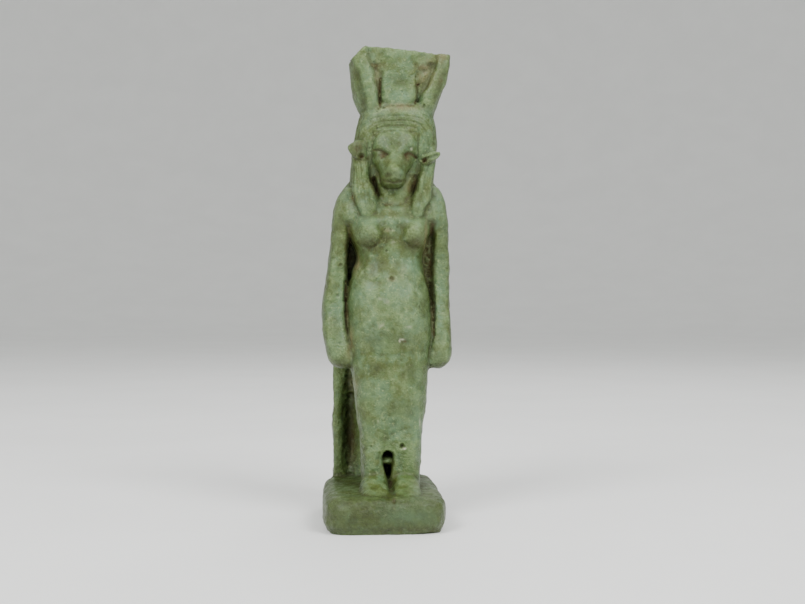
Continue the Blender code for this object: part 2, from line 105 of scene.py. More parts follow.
# Where the glaze differs: spots (x, height, half width, half height, strength) and lines (path, half
# width, strength). Brown dirt, fresh chips with painted glints, bare clay, chalky thin glaze with a
# painted highlight, and dark thick glaze with painted shade.
GRIME_SPOTS = [
    (-2.8, 74.4, 0.9, 1.0, 1.0), (2.6, 74.2, 0.9, 1.0, 1.0), (-8.2, 76.3, 1.8, 1.7, 0.6),
    (-7.6, 74.6, 0.8, 0.7, 1.0), (6.8, 73.8, 0.8, 0.7, 1.0), (-4.5, 69.0, 0.8, 1.6, 1.0),
    (-3.7, 66.9, 0.7, 1.4, 1.0), (4.9, 68.8, 0.8, 2.0, 0.9), (-1.4, 63.9, 2.0, 0.5, 0.5),
    (3.6, 65.0, 1.2, 1.2, 0.5), (-1.7, 69.8, 0.9, 0.5, 0.15), (1.2, 69.6, 0.6, 0.4, 0.15),
    (-4.3, 90.0, 0.5, 4.2, 1.0), (-5.6, 95.4, 1.5, 0.9, 0.9), (4.1, 88.2, 0.4, 2.0, 1.0),
    (4.4, 91.4, 0.8, 0.6, 0.9), (4.4, 95.2, 0.9, 0.6, 0.8), (2.4, 86.2, 2.2, 0.4, 0.8),
    (9.6, 96.0, 0.8, 1.6, 0.7), (9.4, 92.3, 0.8, 0.9, 0.8), (-9.4, 53.0, 1.2, 5.4, 0.9),
    (-10.1, 39.6, 0.5, 6.0, 0.9), (9.2, 51.0, 1.2, 5.6, 1.0), (10.0, 40.0, 0.6, 7.0, 0.9),
    (9.6, 58.6, 0.8, 2.4, 0.8), (-8.9, 65.4, 0.5, 1.0, 0.9), (-0.3, 1.4, 0.5, 2.2, 0.9),
    (-8.6, 8.0, 1.6, 6.0, 0.5), (2.8, 32.85, 0.4, 0.2, 1.0), (5.0, -6.6, 5.0, 0.8, 0.4),
    (-5.0, 54.9, 2.4, 1.2, 0.5), (5.7, 54.9, 2.4, 1.2, 0.55), (-11.2, 27.4, 2.4, 0.8, 0.4),
]
GRIME_LINES = [
    (MOUTH, 0.4, 0.3),
    (LEFT_LID, 0.4, 0.5),
    (RIGHT_LID, 0.4, 0.6),
    ([(-4.0, 86.4), (-4.1, 89.0), (-4.3, 92.5)], 0.3, 1.0),
    ([(-10.1, 46.5), (-10.2, 42.0), (-10.1, 36.5)], 0.3, 0.9),
    ([(9.8, 46.0), (10.0, 42.0), (10.0, 33.5)], 0.35, 0.8),
]
# Chips, and painted highlights among them: the glint by the right eye (3.5, 76.2) and the streak of rim
# light down the right leg (6.4, 14.5).
CHIP_AND_GLINT_SPOTS = [
    (2.2, 33.3, 0.6, 0.16, 0.9), (1.7, 33.0, 0.16, 0.35, 0.8), (2.8, 8.95, 0.35, 0.2, 0.9),
    (6.4, 14.5, 0.16, 1.1, 0.5), (-3.4, 14.8, 0.5, 0.2, 0.5), (3.5, 76.2, 0.2, 0.22, 0.8),
    (-2.4, 36.4, 0.6, 0.14, 0.5), (3.8, 36.2, 0.6, 0.14, 0.5), (0.4, 55.2, 0.35, 0.25, 0.4),
    (-2.2, 42.4, 0.9, 0.2, 0.3), (-1.0, 41.6, 0.5, 0.5, 0.25),
]
BARE_SPOTS = [
    (0.4, 85.9, 4.2, 0.9, 0.8), (6.2, 94.0, 1.8, 3.2, 0.8), (-5.0, 92.4, 0.7, 2.4, 0.7),
    (9.6, 97.4, 1.2, 1.2, 0.6), (-7.7, 50.6, 0.7, 2.0, 1.0), (-0.6, 58.0, 1.2, 0.4, 0.7),
    (0.0, 46.8, 0.8, 0.7, 0.9), (-9.2, 32.6, 0.8, 3.4, 0.7), (3.8, 68.0, 1.2, 2.4, 0.5),
    (-8.6, 22.6, 1.2, 1.8, 0.5), (8.0, 56.4, 0.4, 5.0, 0.7), (0.0, 64.2, 2.6, 0.5, 0.4),
    (1.0, 86.0, 3.0, 0.4, 0.6),
]
# Chalky thin glaze; the last spot (0.9, 70.5) is a painted highlight on the nose.
CHALK_AND_HIGHLIGHT_SPOTS = [
    (4.6, 50.0, 2.4, 2.2, 0.9), (2.6, 44.0, 3.6, 3.4, 0.6), (-6.0, 43.0, 2.6, 3.4, 0.7),
    (-11.6, 41.0, 1.4, 6.0, 0.7), (11.2, 40.0, 1.1, 7.0, 1.0), (10.6, 64.4, 1.8, 4.4, 0.8),
    (1.6, 88.4, 3.4, 1.8, 0.8), (-4.8, 90.0, 1.2, 4.0, 0.8), (-6.6, 94.6, 1.4, 2.6, 0.6),
    (0.0, 59.8, 8.0, 0.9, 0.8), (-6.6, 63.4, 1.2, 2.2, 0.6), (-4.0, 36.0, 5.0, 3.0, 0.5),
    (4.6, 36.8, 3.6, 3.0, 0.5), (6.4, 84.6, 3.0, 1.6, 0.6), (-6.0, 85.2, 2.0, 1.2, 0.5),
    (2.0, 14.0, 4.6, 3.0, 0.45), (6.0, 10.0, 1.4, 8.0, 0.6), (-4.0, 22.0, 3.6, 2.0, 0.4),
    (3.0, -3.6, 5.0, 1.6, 0.35), (3.9, 77.6, 1.2, 1.2, 0.6), (0.9, 70.5, 0.9, 0.8, 0.8),
]
# Most of these dark marks are painted shade: under the breasts, muzzle and ears, in the eye sockets and
# the pillar's hollow; the rest are dark glaze.
DEEP_SPOTS = [
    (-8.4, 74.7, 2.2, 0.9, 1.0), (-5.0, 55.4, 2.7, 1.7, 1.0), (5.7, 55.4, 2.7, 1.7, 1.0),
    (-0.2, 67.8, 3.0, 0.7, 1.0), (-4.2, 33.4, 2.8, 2.2, 1.0), (2.6, 33.2, 4.2, 2.0, 0.9),
    (-3.6, 26.6, 2.0, 1.8, 0.9), (4.2, 26.0, 2.4, 2.0, 0.9), (-11.4, 28.4, 2.8, 1.4, 1.0),
    (11.0, 28.6, 2.6, 1.8, 0.8), (-3.8, -0.4, 2.6, 1.4, 0.7), (3.2, -0.4, 2.6, 1.4, 0.8),
    (-8.6, 76.4, 2.4, 2.2, 1.0), (-1.0, 82.6, 6.4, 1.6, 0.6), (-8.6, 12.0, 1.9, 13.0, 1.0),
    (2.0, 18.0, 5.0, 2.4, 0.6), (-3.4, 50.0, 1.8, 2.2, 0.7), (-12.6, 59.0, 1.4, 8.0, 0.7),
    (12.8, 58.0, 1.2, 10.0, 0.8), (-12.4, 36.0, 1.6, 6.0, 0.5), (0.4, 92.2, 3.0, 1.2, 0.5),
    (-5.4, 62.8, 1.6, 0.9, 0.6), (5.9, 62.4, 1.6, 0.8, 0.6), (-6.0, 12.0, 1.6, 3.0, 0.5),
    (-12.2, 8.0, 1.2, 12.0, 0.45), (6.6, -3.4, 3.0, 2.0, 0.6), (-3.2, 75.0, 1.9, 1.0, 0.9),
    (3.2, 74.9, 1.8, 0.9, 0.9), (-1.4, 77.6, 5.2, 2.2, 0.6), (-1.8, 69.7, 1.0, 0.6, 1.0),
    (1.2, 69.6, 0.6, 0.4, 0.8), (-9.0, 75.2, 1.6, 0.8, 1.0), (8.4, 73.6, 1.4, 0.5, 1.0),
    (-3.0, 58.4, 1.0, 1.4, 0.5),
]
# The mouth and eyelid lines are painted shade; the two on the crown darken the horns' flanks.
DEEP_LINES = [
    (MOUTH, 0.5, 1.0),
    (LEFT_LID, 0.5, 1.0),
    (RIGHT_LID, 0.5, 1.0),
    ([(-7.9, 87.0), (-8.7, 90.0), (-9.9, 94.0)], 1.1, 1.0),
    ([(8.3, 87.5), (9.3, 91.0), (10.3, 94.0)], 1.1, 0.9),
]
FOREHEAD = [(-0.2, 77.0, 5.4, 2.6, 1.0)]

# Colours of the glaze, in linear light; some of them also stand in for painted shade and highlights.
OLIVE = (0.058, 0.082, 0.009)
SEA_GREEN = (0.068, 0.119, 0.030)
BLUISH = (0.082, 0.158, 0.073)
MOTTLE = (0.044, 0.064, 0.008)
# Dark thick-glaze green, also used as painted shade on the flanks, undersides, eye sockets and hollows.
THICK_GLAZE_AND_SHADE = (0.027, 0.039, 0.003)
# Pale chalky green, also used for a painted highlight on the nose.
CHALKY_AND_HIGHLIGHT = (0.135, 0.255, 0.145)
WORN_EDGE = (0.175, 0.258, 0.104)
BARE_CLAY = (0.235, 0.180, 0.090)
HOLLOW_SHADE = (0.028, 0.032, 0.006)
BROWN_DIRT = (0.056, 0.032, 0.009)
FINE_WEAR = (0.125, 0.170, 0.048)
# Pale flecks in the glaze, partly painted glints.
PALE_FLECK_AND_GLINT = (0.255, 0.320, 0.130)
DARK_SPECK = (0.034, 0.030, 0.008)
# White of fresh chips, also used for painted glints.
FRESH_CHIP_AND_GLINT = (0.480, 0.500, 0.340)

# What the lights are aimed at, and the camera: degrees round to -X, then millimetres.
CHEST = (1.0, -2.0, 27.0)
CAMERA_TURN = 4.0
CAMERA_AIM = (0, -9.25, 24.63)
CAMERA_DISTANCE = 115.0
CAMERA_SHIFT = 1.7
FOCAL_LENGTH = 48.86

# How finely the clay is worked, how far its edges are worn and how many facets are kept.
CLAY_GRAIN = 0.105
WEAR_PASSES = 16
MOST_TRIANGLES = 190_000


# Shapes: stations, rings and masses.


def smooth_through(stations, count):
    """Values read evenly along a curve that passes through the stations without overshooting.

    Each column is a cubic between neighbours; its slope at a station is the harmonic mean of the
    slopes on both sides, and zero at a turning point.
    """
    table = np.array(stations, float)
    steps = np.diff(table, axis=0)
    before, after = steps[:-1], steps[1:]
    same_way = before * after > 0
    total = np.where(same_way, before + after, 1.0)
    slope = np.zeros_like(table)
    slope[1:-1] = np.where(same_way, 2 * before * after / total, 0.0)
    slope[0], slope[-1] = steps[0], steps[-1]
    at = np.linspace(0, len(table) - 1, count)
    low = np.minimum(at.astype(int), len(table) - 2)
    t = (at - low)[:, None]
    return (
        table[low] * (1 + 2 * t) * (1 - t) ** 2
        + slope[low] * t * (1 - t) ** 2
        + table[low + 1] * t**2 * (3 - 2 * t)
        + slope[low + 1] * t**2 * (t - 1)
    )


def step(value, low, high):
    """0 below low, 1 above high, and a smooth rise between them."""
    t = np.clip((value - low) / (high - low), 0, 1)
    return t * t * (3 - 2 * t)


def axis_x(height):
    """The figure's middle line: upright to the chest, then leaning towards +X up to the crown."""
    return FIGURE_OFFSET + LEAN * np.clip((np.asarray(height, float) - 58) / 42, 0, 1)


def place(x, forward, height):
    """Points in millimetres of figure coordinates, one row for each entry of the columns."""
    x, forward, height = np.broadcast_arrays(*(np.asarray(v, float) for v in (x, forward, height)))
    return np.stack([
        axis_x(height) + x * UNIT,
        PILLAR_FRONT_Y - forward * UNIT,
        PLINTH_HEIGHT + height * UNIT,
    ], axis=-1)


def ring_quads(rings, sides):
    """The quads between neighbouring rows of a grid whose every row is a closed ring."""
    k = np.arange(sides)
    low = np.arange(rings - 1)[:, None] * sides
    nxt = (k + 1) % sides
    return np.stack([low + k, low + nxt, low + sides + nxt, low + sides + k], axis=-1).reshape(-1, 4)


def ring_skin(centres, half_a, half_b, squareness, across, along, sides=44):
    """A closed skin over superellipse rings.

    At a turn t, a ring's point is its centre plus across times half_a times cos t to the power
    2 / squareness, plus along times half_b times sin t to that power, each keeping its sign.
    """
    turn = np.linspace(0, TAU, sides, endpoint=False)
    c, s = np.cos(turn), np.sin(turn)
    power = 2 / np.broadcast_to(np.asarray(squareness, float), len(centres))[:, None]
    a = np.sign(c) * np.abs(c) ** power * np.reshape(half_a, (-1, 1))
    b = np.sign(s) * np.abs(s) ** power * np.reshape(half_b, (-1, 1))
    points = centres[:, None] + a[..., None] * across + b[..., None] * along
    ring = np.arange(sides)
    ends = [ring[::-1].tolist(), (ring + (len(centres) - 1) * sides).tolist()]
    return points.reshape(-1, 3), ring_quads(len(centres), sides).tolist() + ends


def upright(stations, rings, top=None):
    """A limb or trunk of level rings: (x, height, half width, front, back, squareness)."""
    x, height, wide, front, back, square = smooth_through(stations, rings).T
    centres = place(x, (front + back) / 2, height)
    points, faces = ring_skin(centres, wide * UNIT, (front - back) / 2 * UNIT, square, EAST, NORTH)
    if top:
        points[:, 2] = np.minimum(points[:, 2], top(points[:, 0]))
    return points, faces


def egg(x, forward, height, half_x, half_y, half_z):
    """An ellipsoid: level rings whose size is the cosine of their latitude."""
    latitude = np.linspace(-math.pi / 2, math.pi / 2, 26)[1:-1]
    centres = place(x, forward, height + half_z * np.sin(latitude))
    centres[:, 0] = axis_x(height) + x * UNIT
    size = np.cos(latitude) * UNIT
    return ring_skin(centres, half_x * size, half_y * size, 2.0, EAST, NORTH)


def plinth():
    """A low block with worn edges. It starts below the ground, where it is cut off flat later."""
    edge = PLINTH_EDGE
    levels = np.array([
        (-2 * edge, 0.4 * edge),
        (0, 0.4 * edge),
        (0.8 * edge, 0),
        (PLINTH_HEIGHT - edge, 0),
        (PLINTH_HEIGHT - 0.5 * edge, 0.13 * edge),
        (PLINTH_HEIGHT - 0.13 * edge, 0.5 * edge),
        (PLINTH_HEIGHT, edge),
    ])
    centres = levels[:, :1] * UP
    half_x, half_y = PLINTH_WIDTH / 2 - levels[:, 1], PLINTH_DEPTH / 2 - levels[:, 1]
    return [ring_skin(centres, half_x, half_y, 6.5, EAST, NORTH, sides=88)]


def pillar():
    """The back pillar: a slab, straight to the hips, then narrowing and leaning up to the crown."""
    rows = 30
    height = np.linspace(-EMBEDDING / UNIT, 86, rows)
    t = np.clip((height - 30) / 56, 0, 1)
    centres = np.stack([
        (1 - t) * PILLAR_OFFSET + t * axis_x(height),
        np.full(rows, (PILLAR_FRONT_Y + PILLAR_BACK_Y) / 2),
        PLINTH_HEIGHT + height * UNIT,
    ], axis=-1)
    wide = PILLAR_FOOT_WIDTH + t * (PILLAR_HEAD_WIDTH - PILLAR_FOOT_WIDTH)
    return [ring_skin(centres, wide / 2, np.full(rows, PILLAR_THICKNESS / 2), 9.0, EAST, NORTH, sides=64)]


def trunk():
    """Torso, hips, narrow skirt and shoulders, and the clay left behind them."""
    body = upright([
        (0, 8.6, 6.2, 15.2, 7.2, 2.7), (0, 13.6, 7.3, 17.0, 6.0, 2.6), (0, 19.0, 8.2, 17.7, 4.8, 2.5),
        (0, 25.6, 8.8, 17.4, 3.2, 2.4), (0, 29.6, 9.2, 17.2, 1.6, 2.4), (0, 33.0, 9.5, 17.6, 0.0, 2.4),
        (0, 37.4, 9.6, 17.6, -1.0, 2.4), (-0.3, 42.4, 9.5, 17.0, -1.0, 2.3),
        (-0.35, 46.8, 8.85, 15.7, -1.0, 2.3), (0, 51.8, 7.7, 14.2, -1.0, 2.3),
        (0, 55.4, 8.8, 14.1, -1.0, 2.5), (0, 58.8, 9.9, 14.2, -1.0, 2.8), (0, 62.0, 10.0, 13.8, -1.0, 2.8),
        (0, 64.4, 9.4, 13.0, -1.0, 2.6), (0, 67.0, 7.6, 11.6, -1.0, 2.4),
    ], rings=90)
    shoulders = upright([
        (0, 57.6, 10.6, 9.0, -1.0, 3.2), (0, 59.2, 12.0, 11.6, -1.0, 3.2),
        (0, 61.4, 12.6, 13.0, -1.0, 3.2), (0, 64.0, 12.5, 12.6, -1.0, 3.0),
        (0, 66.2, 12.0, 11.4, -1.0, 2.7), (0, 68.0, 11.2, 9.8, -1.0, 2.5), (0, 69.6, 10.0, 8.2, -1.0, 2.4),
        (0, 70.6, 8.8, 7.0, -1.0, 2.4),
    ], rings=34)
    behind_legs = upright([
        (-0.4, -1.2, 4.4, 9.0, -1.0, 4.0), (-0.3, 9.0, 4.6, 9.0, -1.0, 4.0),
        (-0.2, 18.0, 4.8, 11.0, -1.0, 4.0), (0.0, 30.0, 6.6, 10.0, -1.0, 4.0),
    ], rings=16)
    behind_arms = upright([
        (0, 28.0, 8.0, 2.0, -1.0, 4.0), (0, 30.0, 10.2, 3.0, -1.0, 4.0), (0, 40.0, 11.8, 2.4, -1.0, 5.0),
        (0, 52.0, 11.6, 2.4, -1.0, 5.0), (0, 60.0, 11.0, 2.4, -1.0, 5.0),
    ], rings=20)
    beside_waist = upright([
        (9.0, 28.6, 1.2, 6.0, -1.0, 3.0), (9.6, 34.0, 1.9, 8.8, -1.0, 3.0),
        (9.6, 46.0, 2.2, 8.4, -1.0, 3.0), (9.6, 58.0, 2.6, 8.4, -1.0, 3.0),
    ], rings=20)
    beside_hip = upright([
        (-9.0, 28.6, 1.2, 7.0, -1.0, 3.0), (-9.8, 34.0, 1.8, 9.6, -1.0, 3.0),
        (-9.8, 40.0, 1.8, 9.0, -1.0, 3.0), (-9.8, 43.0, 1.6, 7.0, -1.0, 3.0),
        (-9.6, 46.0, 1.4, 3.0, -1.0, 3.0),
    ], rings=20)
    above_gap = egg(-0.6, 11.6, 10.6, 3.6, 5.3, 2.3)
    in_gap = egg(-0.9, 13.6, 5.9, 1.6, 2.2, 1.0)
    return [body, shoulders, behind_legs, behind_arms, beside_waist, beside_hip, above_gap, in_gap]


def leg(side):
    """One leg below the hem, the flat lip of the drop-shaped gap between the two, and the foot."""
    outer_low, outer_high, toe, foot_x = (-6.7, -6.9, 26.8, -3.9)
    if side == RIGHT:
        outer_low, outer_high, toe, foot_x = (6.5, 6.9, 27.8, 3.0)
    height, half_gap = np.array([
        (-1.2, -0.2), (1.4, 0.1), (2.4, 0.35), (3.8, 0.7), (5.2, 1.0), (6.6, 1.15),
        (7.5, 1.1), (8.2, 0.5), (8.8, -0.5), (20.0, -0.5),
    ]).T
    middle = -0.55 - 0.3 * step(height, 0.0, 5.0)
    inner = middle + side * half_gap
    outer = outer_low + (outer_high - outer_low) * np.clip(height, 0, None) / 9.4
    same = np.ones_like(height)
    front = 17.5 - 1.9 * step(height, 8.0, 20.0)
    shin = upright(np.stack([
        (inner + outer) / 2, height, np.abs(outer - inner) / 2, front, 7.0 * same, 3.0 * same,
    ], axis=-1), rings=54)
    lip = upright(np.stack([
        inner + side * 1.5, height, 1.5 * same, front - 0.35, 7.0 * same, 6.0 * same,
    ], axis=-1), rings=54)
    forward, level, half_x, half_z = smooth_through([
        (9.0, 1.0, 2.6, 3.0),
        (14.0, 0.8, 2.9, 3.8),
        (18.2, 0.2, 3.1, 2.9),
        (toe - 5.0, -0.2, 3.1, 1.9),
        (toe - 1.6, -0.4, 2.8, 1.2),
        (toe, -0.6, 1.8, 0.8),
    ], 30).T
    foot = ring_skin(place(foot_x, forward, level), half_x * UNIT, half_z * UNIT, 2.1, EAST, UP)
    return [shin, lip, foot]


def arm(side):
    """A hanging arm whose closed hand rests on the thigh. The one on the -X side bends out more."""
    if side == LEFT:
        stations = [
            (-9.6, 68.0, 1.6, 8.6, 1.0, 2.3), (-10.5, 65.4, 2.2, 9.8, 1.0, 2.3),
            (-11.1, 61.0, 2.3, 10.6, 1.0, 3.0), (-11.3, 56.8, 2.1, 10.6, 1.0, 3.0),
            (-11.9, 50.6, 2.2, 10.6, 0.6, 3.3), (-12.3, 45.4, 2.65, 10.8, 0.6, 3.3),
            (-12.6, 40.5, 3.1, 11.0, 0.6, 3.3), (-12.4, 35.4, 3.1, 12.2, 1.6, 3.3),
            (-11.6, 31.4, 3.3, 13.2, 3.4, 3.1), (-10.8, 28.8, 3.3, 13.4, 5.4, 3.0),
            (-10.4, 27.4, 2.8, 12.8, 6.4, 2.3), (-10.0, 26.6, 1.9, 11.6, 7.4, 2.1),
        ]
    else:
        stations = [
            (9.6, 68.4, 1.6, 8.6, 1.0, 2.3), (10.4, 65.6, 2.2, 9.8, 1.0, 2.3),
            (11.2, 61.0, 2.3, 10.6, 1.0, 3.0), (11.7, 56.8, 2.0, 10.6, 1.0, 3.0),
            (11.7, 51.8, 2.2, 10.6, 0.6, 3.3), (11.8, 42.8, 2.3, 10.8, 0.6, 3.3),
            (11.7, 36.4, 2.45, 11.6, 1.6, 3.1), (11.2, 31.0, 3.0, 13.0, 3.4, 3.0),
            (10.8, 28.6, 3.1, 13.4, 5.4, 3.0), (10.3, 27.2, 2.7, 12.8, 6.4, 2.3),
            (10.0, 26.4, 1.9, 11.6, 7.4, 2.1),
        ]
    return [upright(stations, rings=80)]


def wig():
    """Cap of the three-part wig and its two front locks, which slope in over the chest."""
    cap = upright([
        (0.0, 64.0, 7.6, 10.6, -1.0, 3.0), (0.0, 67.0, 9.4, 11.2, -1.0, 3.0),
        (0.0, 70.0, 9.8, 12.2, -1.0, 2.9), (0.0, 73.4, 9.8, 13.1, -1.0, 2.9),
        (0.2, 77.0, 9.8, 14.0, -1.0, 2.9), (0.2, 81.0, 9.4, 14.4, -1.0, 2.9),
        (0.2, 84.0, 8.7, 14.0, -1.0, 2.9), (0.1, 86.6, 7.8, 13.0, -1.0, 2.9),
    ], rings=50)
    # The locks share (height, front, back, squareness); each has its own (x, half width).
    levels = (
        (79.0, 11.2, 6.0, 2.8), (76.4, 12.6, 6.0, 3.2), (73.0, 13.2, 7.0, 3.6), (69.6, 13.4, 8.0, 3.6),
        (65.4, 13.7, 9.0, 3.4), (62.8, 14.2, 10.0, 2.5), (61.4, 14.0, 10.0, 2.4), (60.9, 13.5, 10.0, 2.3),
    )
    masses = [cap]
    for lock in (
        ((-7.6, 1.5), (-7.8, 1.7), (-7.6, 2.0), (-7.3, 2.2),
         (-6.0, 2.8), (-5.4, 2.2), (-5.3, 1.7), (-5.3, 1.1)),
        ((7.5, 1.5), (7.7, 1.8), (7.6, 1.9), (7.4, 1.9),
         (6.7, 2.2), (5.9, 1.8), (5.8, 1.5), (5.8, 1.0)),
    ):
        stations = [(x, height, half, *rest) for (x, half), (height, *rest) in zip(lock, levels)]
        masses.append(upright(stations, rings=50))
    return masses


def head():
    """A wedge-shaped face, from the broad brow down to the cow's muzzle, and the throat behind it."""
    face = upright([
        (-0.2, 67.5, 1.6, 16.9, 6.0, 2.0), (-0.2, 68.1, 2.3, 18.7, 5.0, 2.0),
        (-0.2, 68.8, 2.6, 19.6, 4.0, 2.0), (-0.2, 69.6, 2.8, 20.1, 4.0, 2.0),
        (-0.3, 70.8, 3.0, 20.3, 4.0, 1.9), (-0.3, 72.0, 3.9, 19.4, 4.0, 1.7),
        (-0.4, 73.4, 4.8, 18.4, 4.0, 1.7), (-0.3, 75.0, 5.4, 17.2, 4.0, 1.8),
        (-0.2, 77.0, 5.7, 15.9, 4.0, 2.4), (-0.2, 79.0, 5.5, 15.5, 4.0, 2.7),
        (-0.2, 81.0, 4.9, 14.8, 4.0, 2.7),
    ], rings=90)
    neck = upright([
        (0.3, 61.0, 4.6, 12.8, 4.0, 2.4), (0.3, 64.6, 4.4, 13.0, 4.0, 2.4),
        (0.4, 66.8, 4.6, 13.0, 4.0, 2.4), (0.4, 69.4, 4.9, 13.0, 4.0, 2.4),
        (0.3, 73.0, 5.2, 13.4, 4.0, 2.4),
    ], rings=30)
    return [face, neck]


def ear(side):
    """A leaf-shaped cow's ear standing out sideways; the one on the -X side is broader."""
    if side == LEFT:
        stations = [
            (6.2, 12.0, 75.8, 0.7, 1.6), (7.1, 12.9, 76.1, 1.0, 2.15), (8.2, 13.4, 76.1, 1.1, 2.1),
            (9.4, 13.3, 76.1, 1.0, 1.65), (10.2, 12.9, 76.4, 0.75, 0.95), (10.8, 12.6, 76.7, 0.5, 0.35),
        ]
    else:
        stations = [
            (5.8, 12.2, 74.1, 0.8, 0.9), (6.8, 13.2, 74.0, 1.0, 1.15), (7.9, 13.5, 74.3, 1.0, 1.2),
            (9.2, 13.2, 74.9, 0.8, 0.95), (10.4, 12.7, 75.6, 0.6, 0.4),
        ]
    x, forward, height, half_y, half_z = smooth_through(stations, 28).T
    return [ring_skin(place(side * x, forward, height), half_y * UNIT, half_z * UNIT, 2.0, NORTH, UP)]


def break_height(x):
    """Height of the crown's broken top at x: a slow fall to +X and a lost corner at -X."""
    across = (x - axis_x(100)) / UNIT
    level = 99.2 - 0.1 * across + 1.1 * np.minimum(across + 8.2, 0)
    return PLINTH_HEIGHT + level * UNIT


def crown():
    """Low round base, slab, sun disc and two spreading horns, all broken off near the top."""
    base = upright([
        (0.4, 84.4, 7.4, 13.2, -1.0, 2.6), (0.4, 86.0, 7.7, 13.4, -1.0, 2.6),
        (0.4, 87.2, 7.4, 12.6, -1.0, 2.6),
    ], rings=12)
    slab = upright([
        (0.4, 85.4, 7.4, 11.0, 0.0, 2.8), (0.0, 87.6, 8.8, 11.2, 0.6, 3.0),
        (-0.3, 89.6, 9.7, 12.3, 1.0, 2.6), (0.0, 92.6, 10.4, 12.7, 2.2, 2.6),
        (0.1, 97.0, 11.1, 12.9, 3.2, 2.8), (0.2, 102.0, 11.4, 12.6, 3.4, 2.8),
    ], rings=34, top=break_height)
    pillar_head = upright([
        (0.2, 82.0, 7.9, 3.0, -4.6, 5.0), (0.2, 86.0, 8.0, 4.0, -4.9, 5.0),
        (0.2, 89.0, 7.9, 5.0, -3.6, 4.0), (0.2, 92.0, 7.6, 6.0, -0.6, 4.0),
        (0.2, 95.0, 6.8, 6.0, 2.6, 4.0),
    ], rings=28)
    disc = upright([
        (0.2, 86.2, 2.2, 12.4, 8.0, 3.6), (0.2, 87.2, 3.8, 13.1, 8.0, 3.8),
        (0.1, 89.2, 4.2, 13.3, 8.0, 4.2), (0.0, 98.2, 4.2, 13.2, 8.0, 4.2),
    ], rings=24)
    top_strip = upright([
        (0.2, 95.0, 8.6, 12.2, 5.0, 4.0), (0.2, 96.6, 9.6, 13.1, 5.0, 4.0),
        (0.2, 102.0, 10.6, 13.2, 4.0, 4.0),
    ], rings=14, top=break_height)
    masses = [base, slab, pillar_head, disc, top_strip]
    levels = (83.8, 88.0, 92.0, 96.4, 102.0)
    fronts = (11.6, 13.2, 13.5, 13.4, 13.2)
    # Each horn's ridge, then the flank behind it: (x, half width) at each level.
    horns = (
        (((-5.1, 1.7), (-5.9, 1.8), (-7.1, 2.0), (-8.6, 2.3), (-9.7, 2.3)),
         ((-5.0, 2.6), (-6.8, 2.9), (-8.2, 2.5), (-9.3, 2.0), (-9.8, 1.9))),
        (((6.2, 1.8), (7.1, 2.1), (8.8, 2.1), (9.8, 1.8), (10.0, 1.7)),
         ((6.2, 2.3), (7.2, 2.5), (8.8, 2.0), (9.8, 1.6), (10.0, 1.6))),
    )
    for ridge, flank in horns:
        for band, setback, back, square in ((ridge, 0.0, 8.5, 2.6), (flank, 1.0, 3.0, 2.4)):
            stations = [
                (x, level, half, front - setback, back, square)
                for level, (x, half), front in zip(levels, band, fronts)
            ]
            masses.append(upright(stations, rings=30, top=break_height))
    return masses


# Working the clay: every function here moves a whole array of points.


class Clay:
    """Points of the skin in millimetres, with their outward normals and figure coordinates."""

    def __init__(self, mesh):
        self.mesh = mesh
        self.points = read(mesh.vertices, "co")
        self.normals = read(mesh.vertex_normals, "vector")
        self.height = (self.points[:, 2] - PLINTH_HEIGHT) / UNIT
        self.across = (self.points[:, 0] - axis_x(self.height)) / UNIT
        self.forward = (PILLAR_FRONT_Y - self.points[:, 1]) / UNIT
        self.facing = np.clip(-self.normals[:, 1], 0, 1)

    def written(self):
        """The mesh with the moved points."""
        self.mesh.vertices.foreach_set("co", self.points.ravel())
        self.mesh.update()
        return self.mesh


def read(items, name):
    """Three values of each of a mesh's items, one row for each item."""
    values = np.empty(len(items) * 3, np.float32)
    items.foreach_get(name, values)
    return values.reshape(-1, 3).astype(float)


def lumps(points, size, seed):
    """Smooth random values from -1 to 1, one lump every size millimetres.

    Random numbers on a cubic lattice of 24, repeated, blended by the smooth step within each cell.
    """
    lattice = np.random.default_rng(seed).uniform(-1, 1, (24, 24, 24))
    cell = points / size
    low = np.floor(cell).astype(int)
    t = cell - low
    t = t * t * (3 - 2 * t)
    value = np.zeros(len(points))
    for corner in np.ndindex(2, 2, 2):
        i, j, k = ((low + corner) % 24).T
        value += lattice[i, j, k] * np.prod(np.where(corner, t, 1 - t), axis=1)
    return value


def push(clay, shape, depth, reach):
    """Moves the front back by depth times shape and facing, where it lies this far forward."""
    inside = (clay.forward > reach[0]) & (clay.forward < reach[1])
    clay.points[:, 1] += depth * UNIT * shape * clay.facing * inside


def press(clay, x, height, half_x, half_z, depth, reach):
    """Dents the front under a round thumb: a bell of these half sizes."""
    across, up = (clay.across - x) / half_x, (clay.height - height) / half_z
    push(clay, np.exp(-(across**2) - up**2), depth, reach)


def distance_to(path, across, height):
    """Distance in figure units from each point to the nearest stretch of a broken line."""
    nearest = np.full(len(across), 99.0)
    for (x0, z0), (x1, z1) in zip(path, path[1:]):
        dx, dz = x1 - x0, z1 - z0
        t = np.clip(((across - x0) * dx + (height - z0) * dz) / (dx * dx + dz * dz), 0, 1)
        nearest = np.minimum(nearest, np.hypot(across - x0 - t * dx, height - z0 - t * dz))
    return nearest


def groove(clay, path, half, depth, reach):
    """A groove along a broken line on the front; its section is a bell of this half width."""
    near = distance_to(path, clay.across, clay.height)
    push(clay, np.exp(-((near / half) ** 2)), depth, reach)


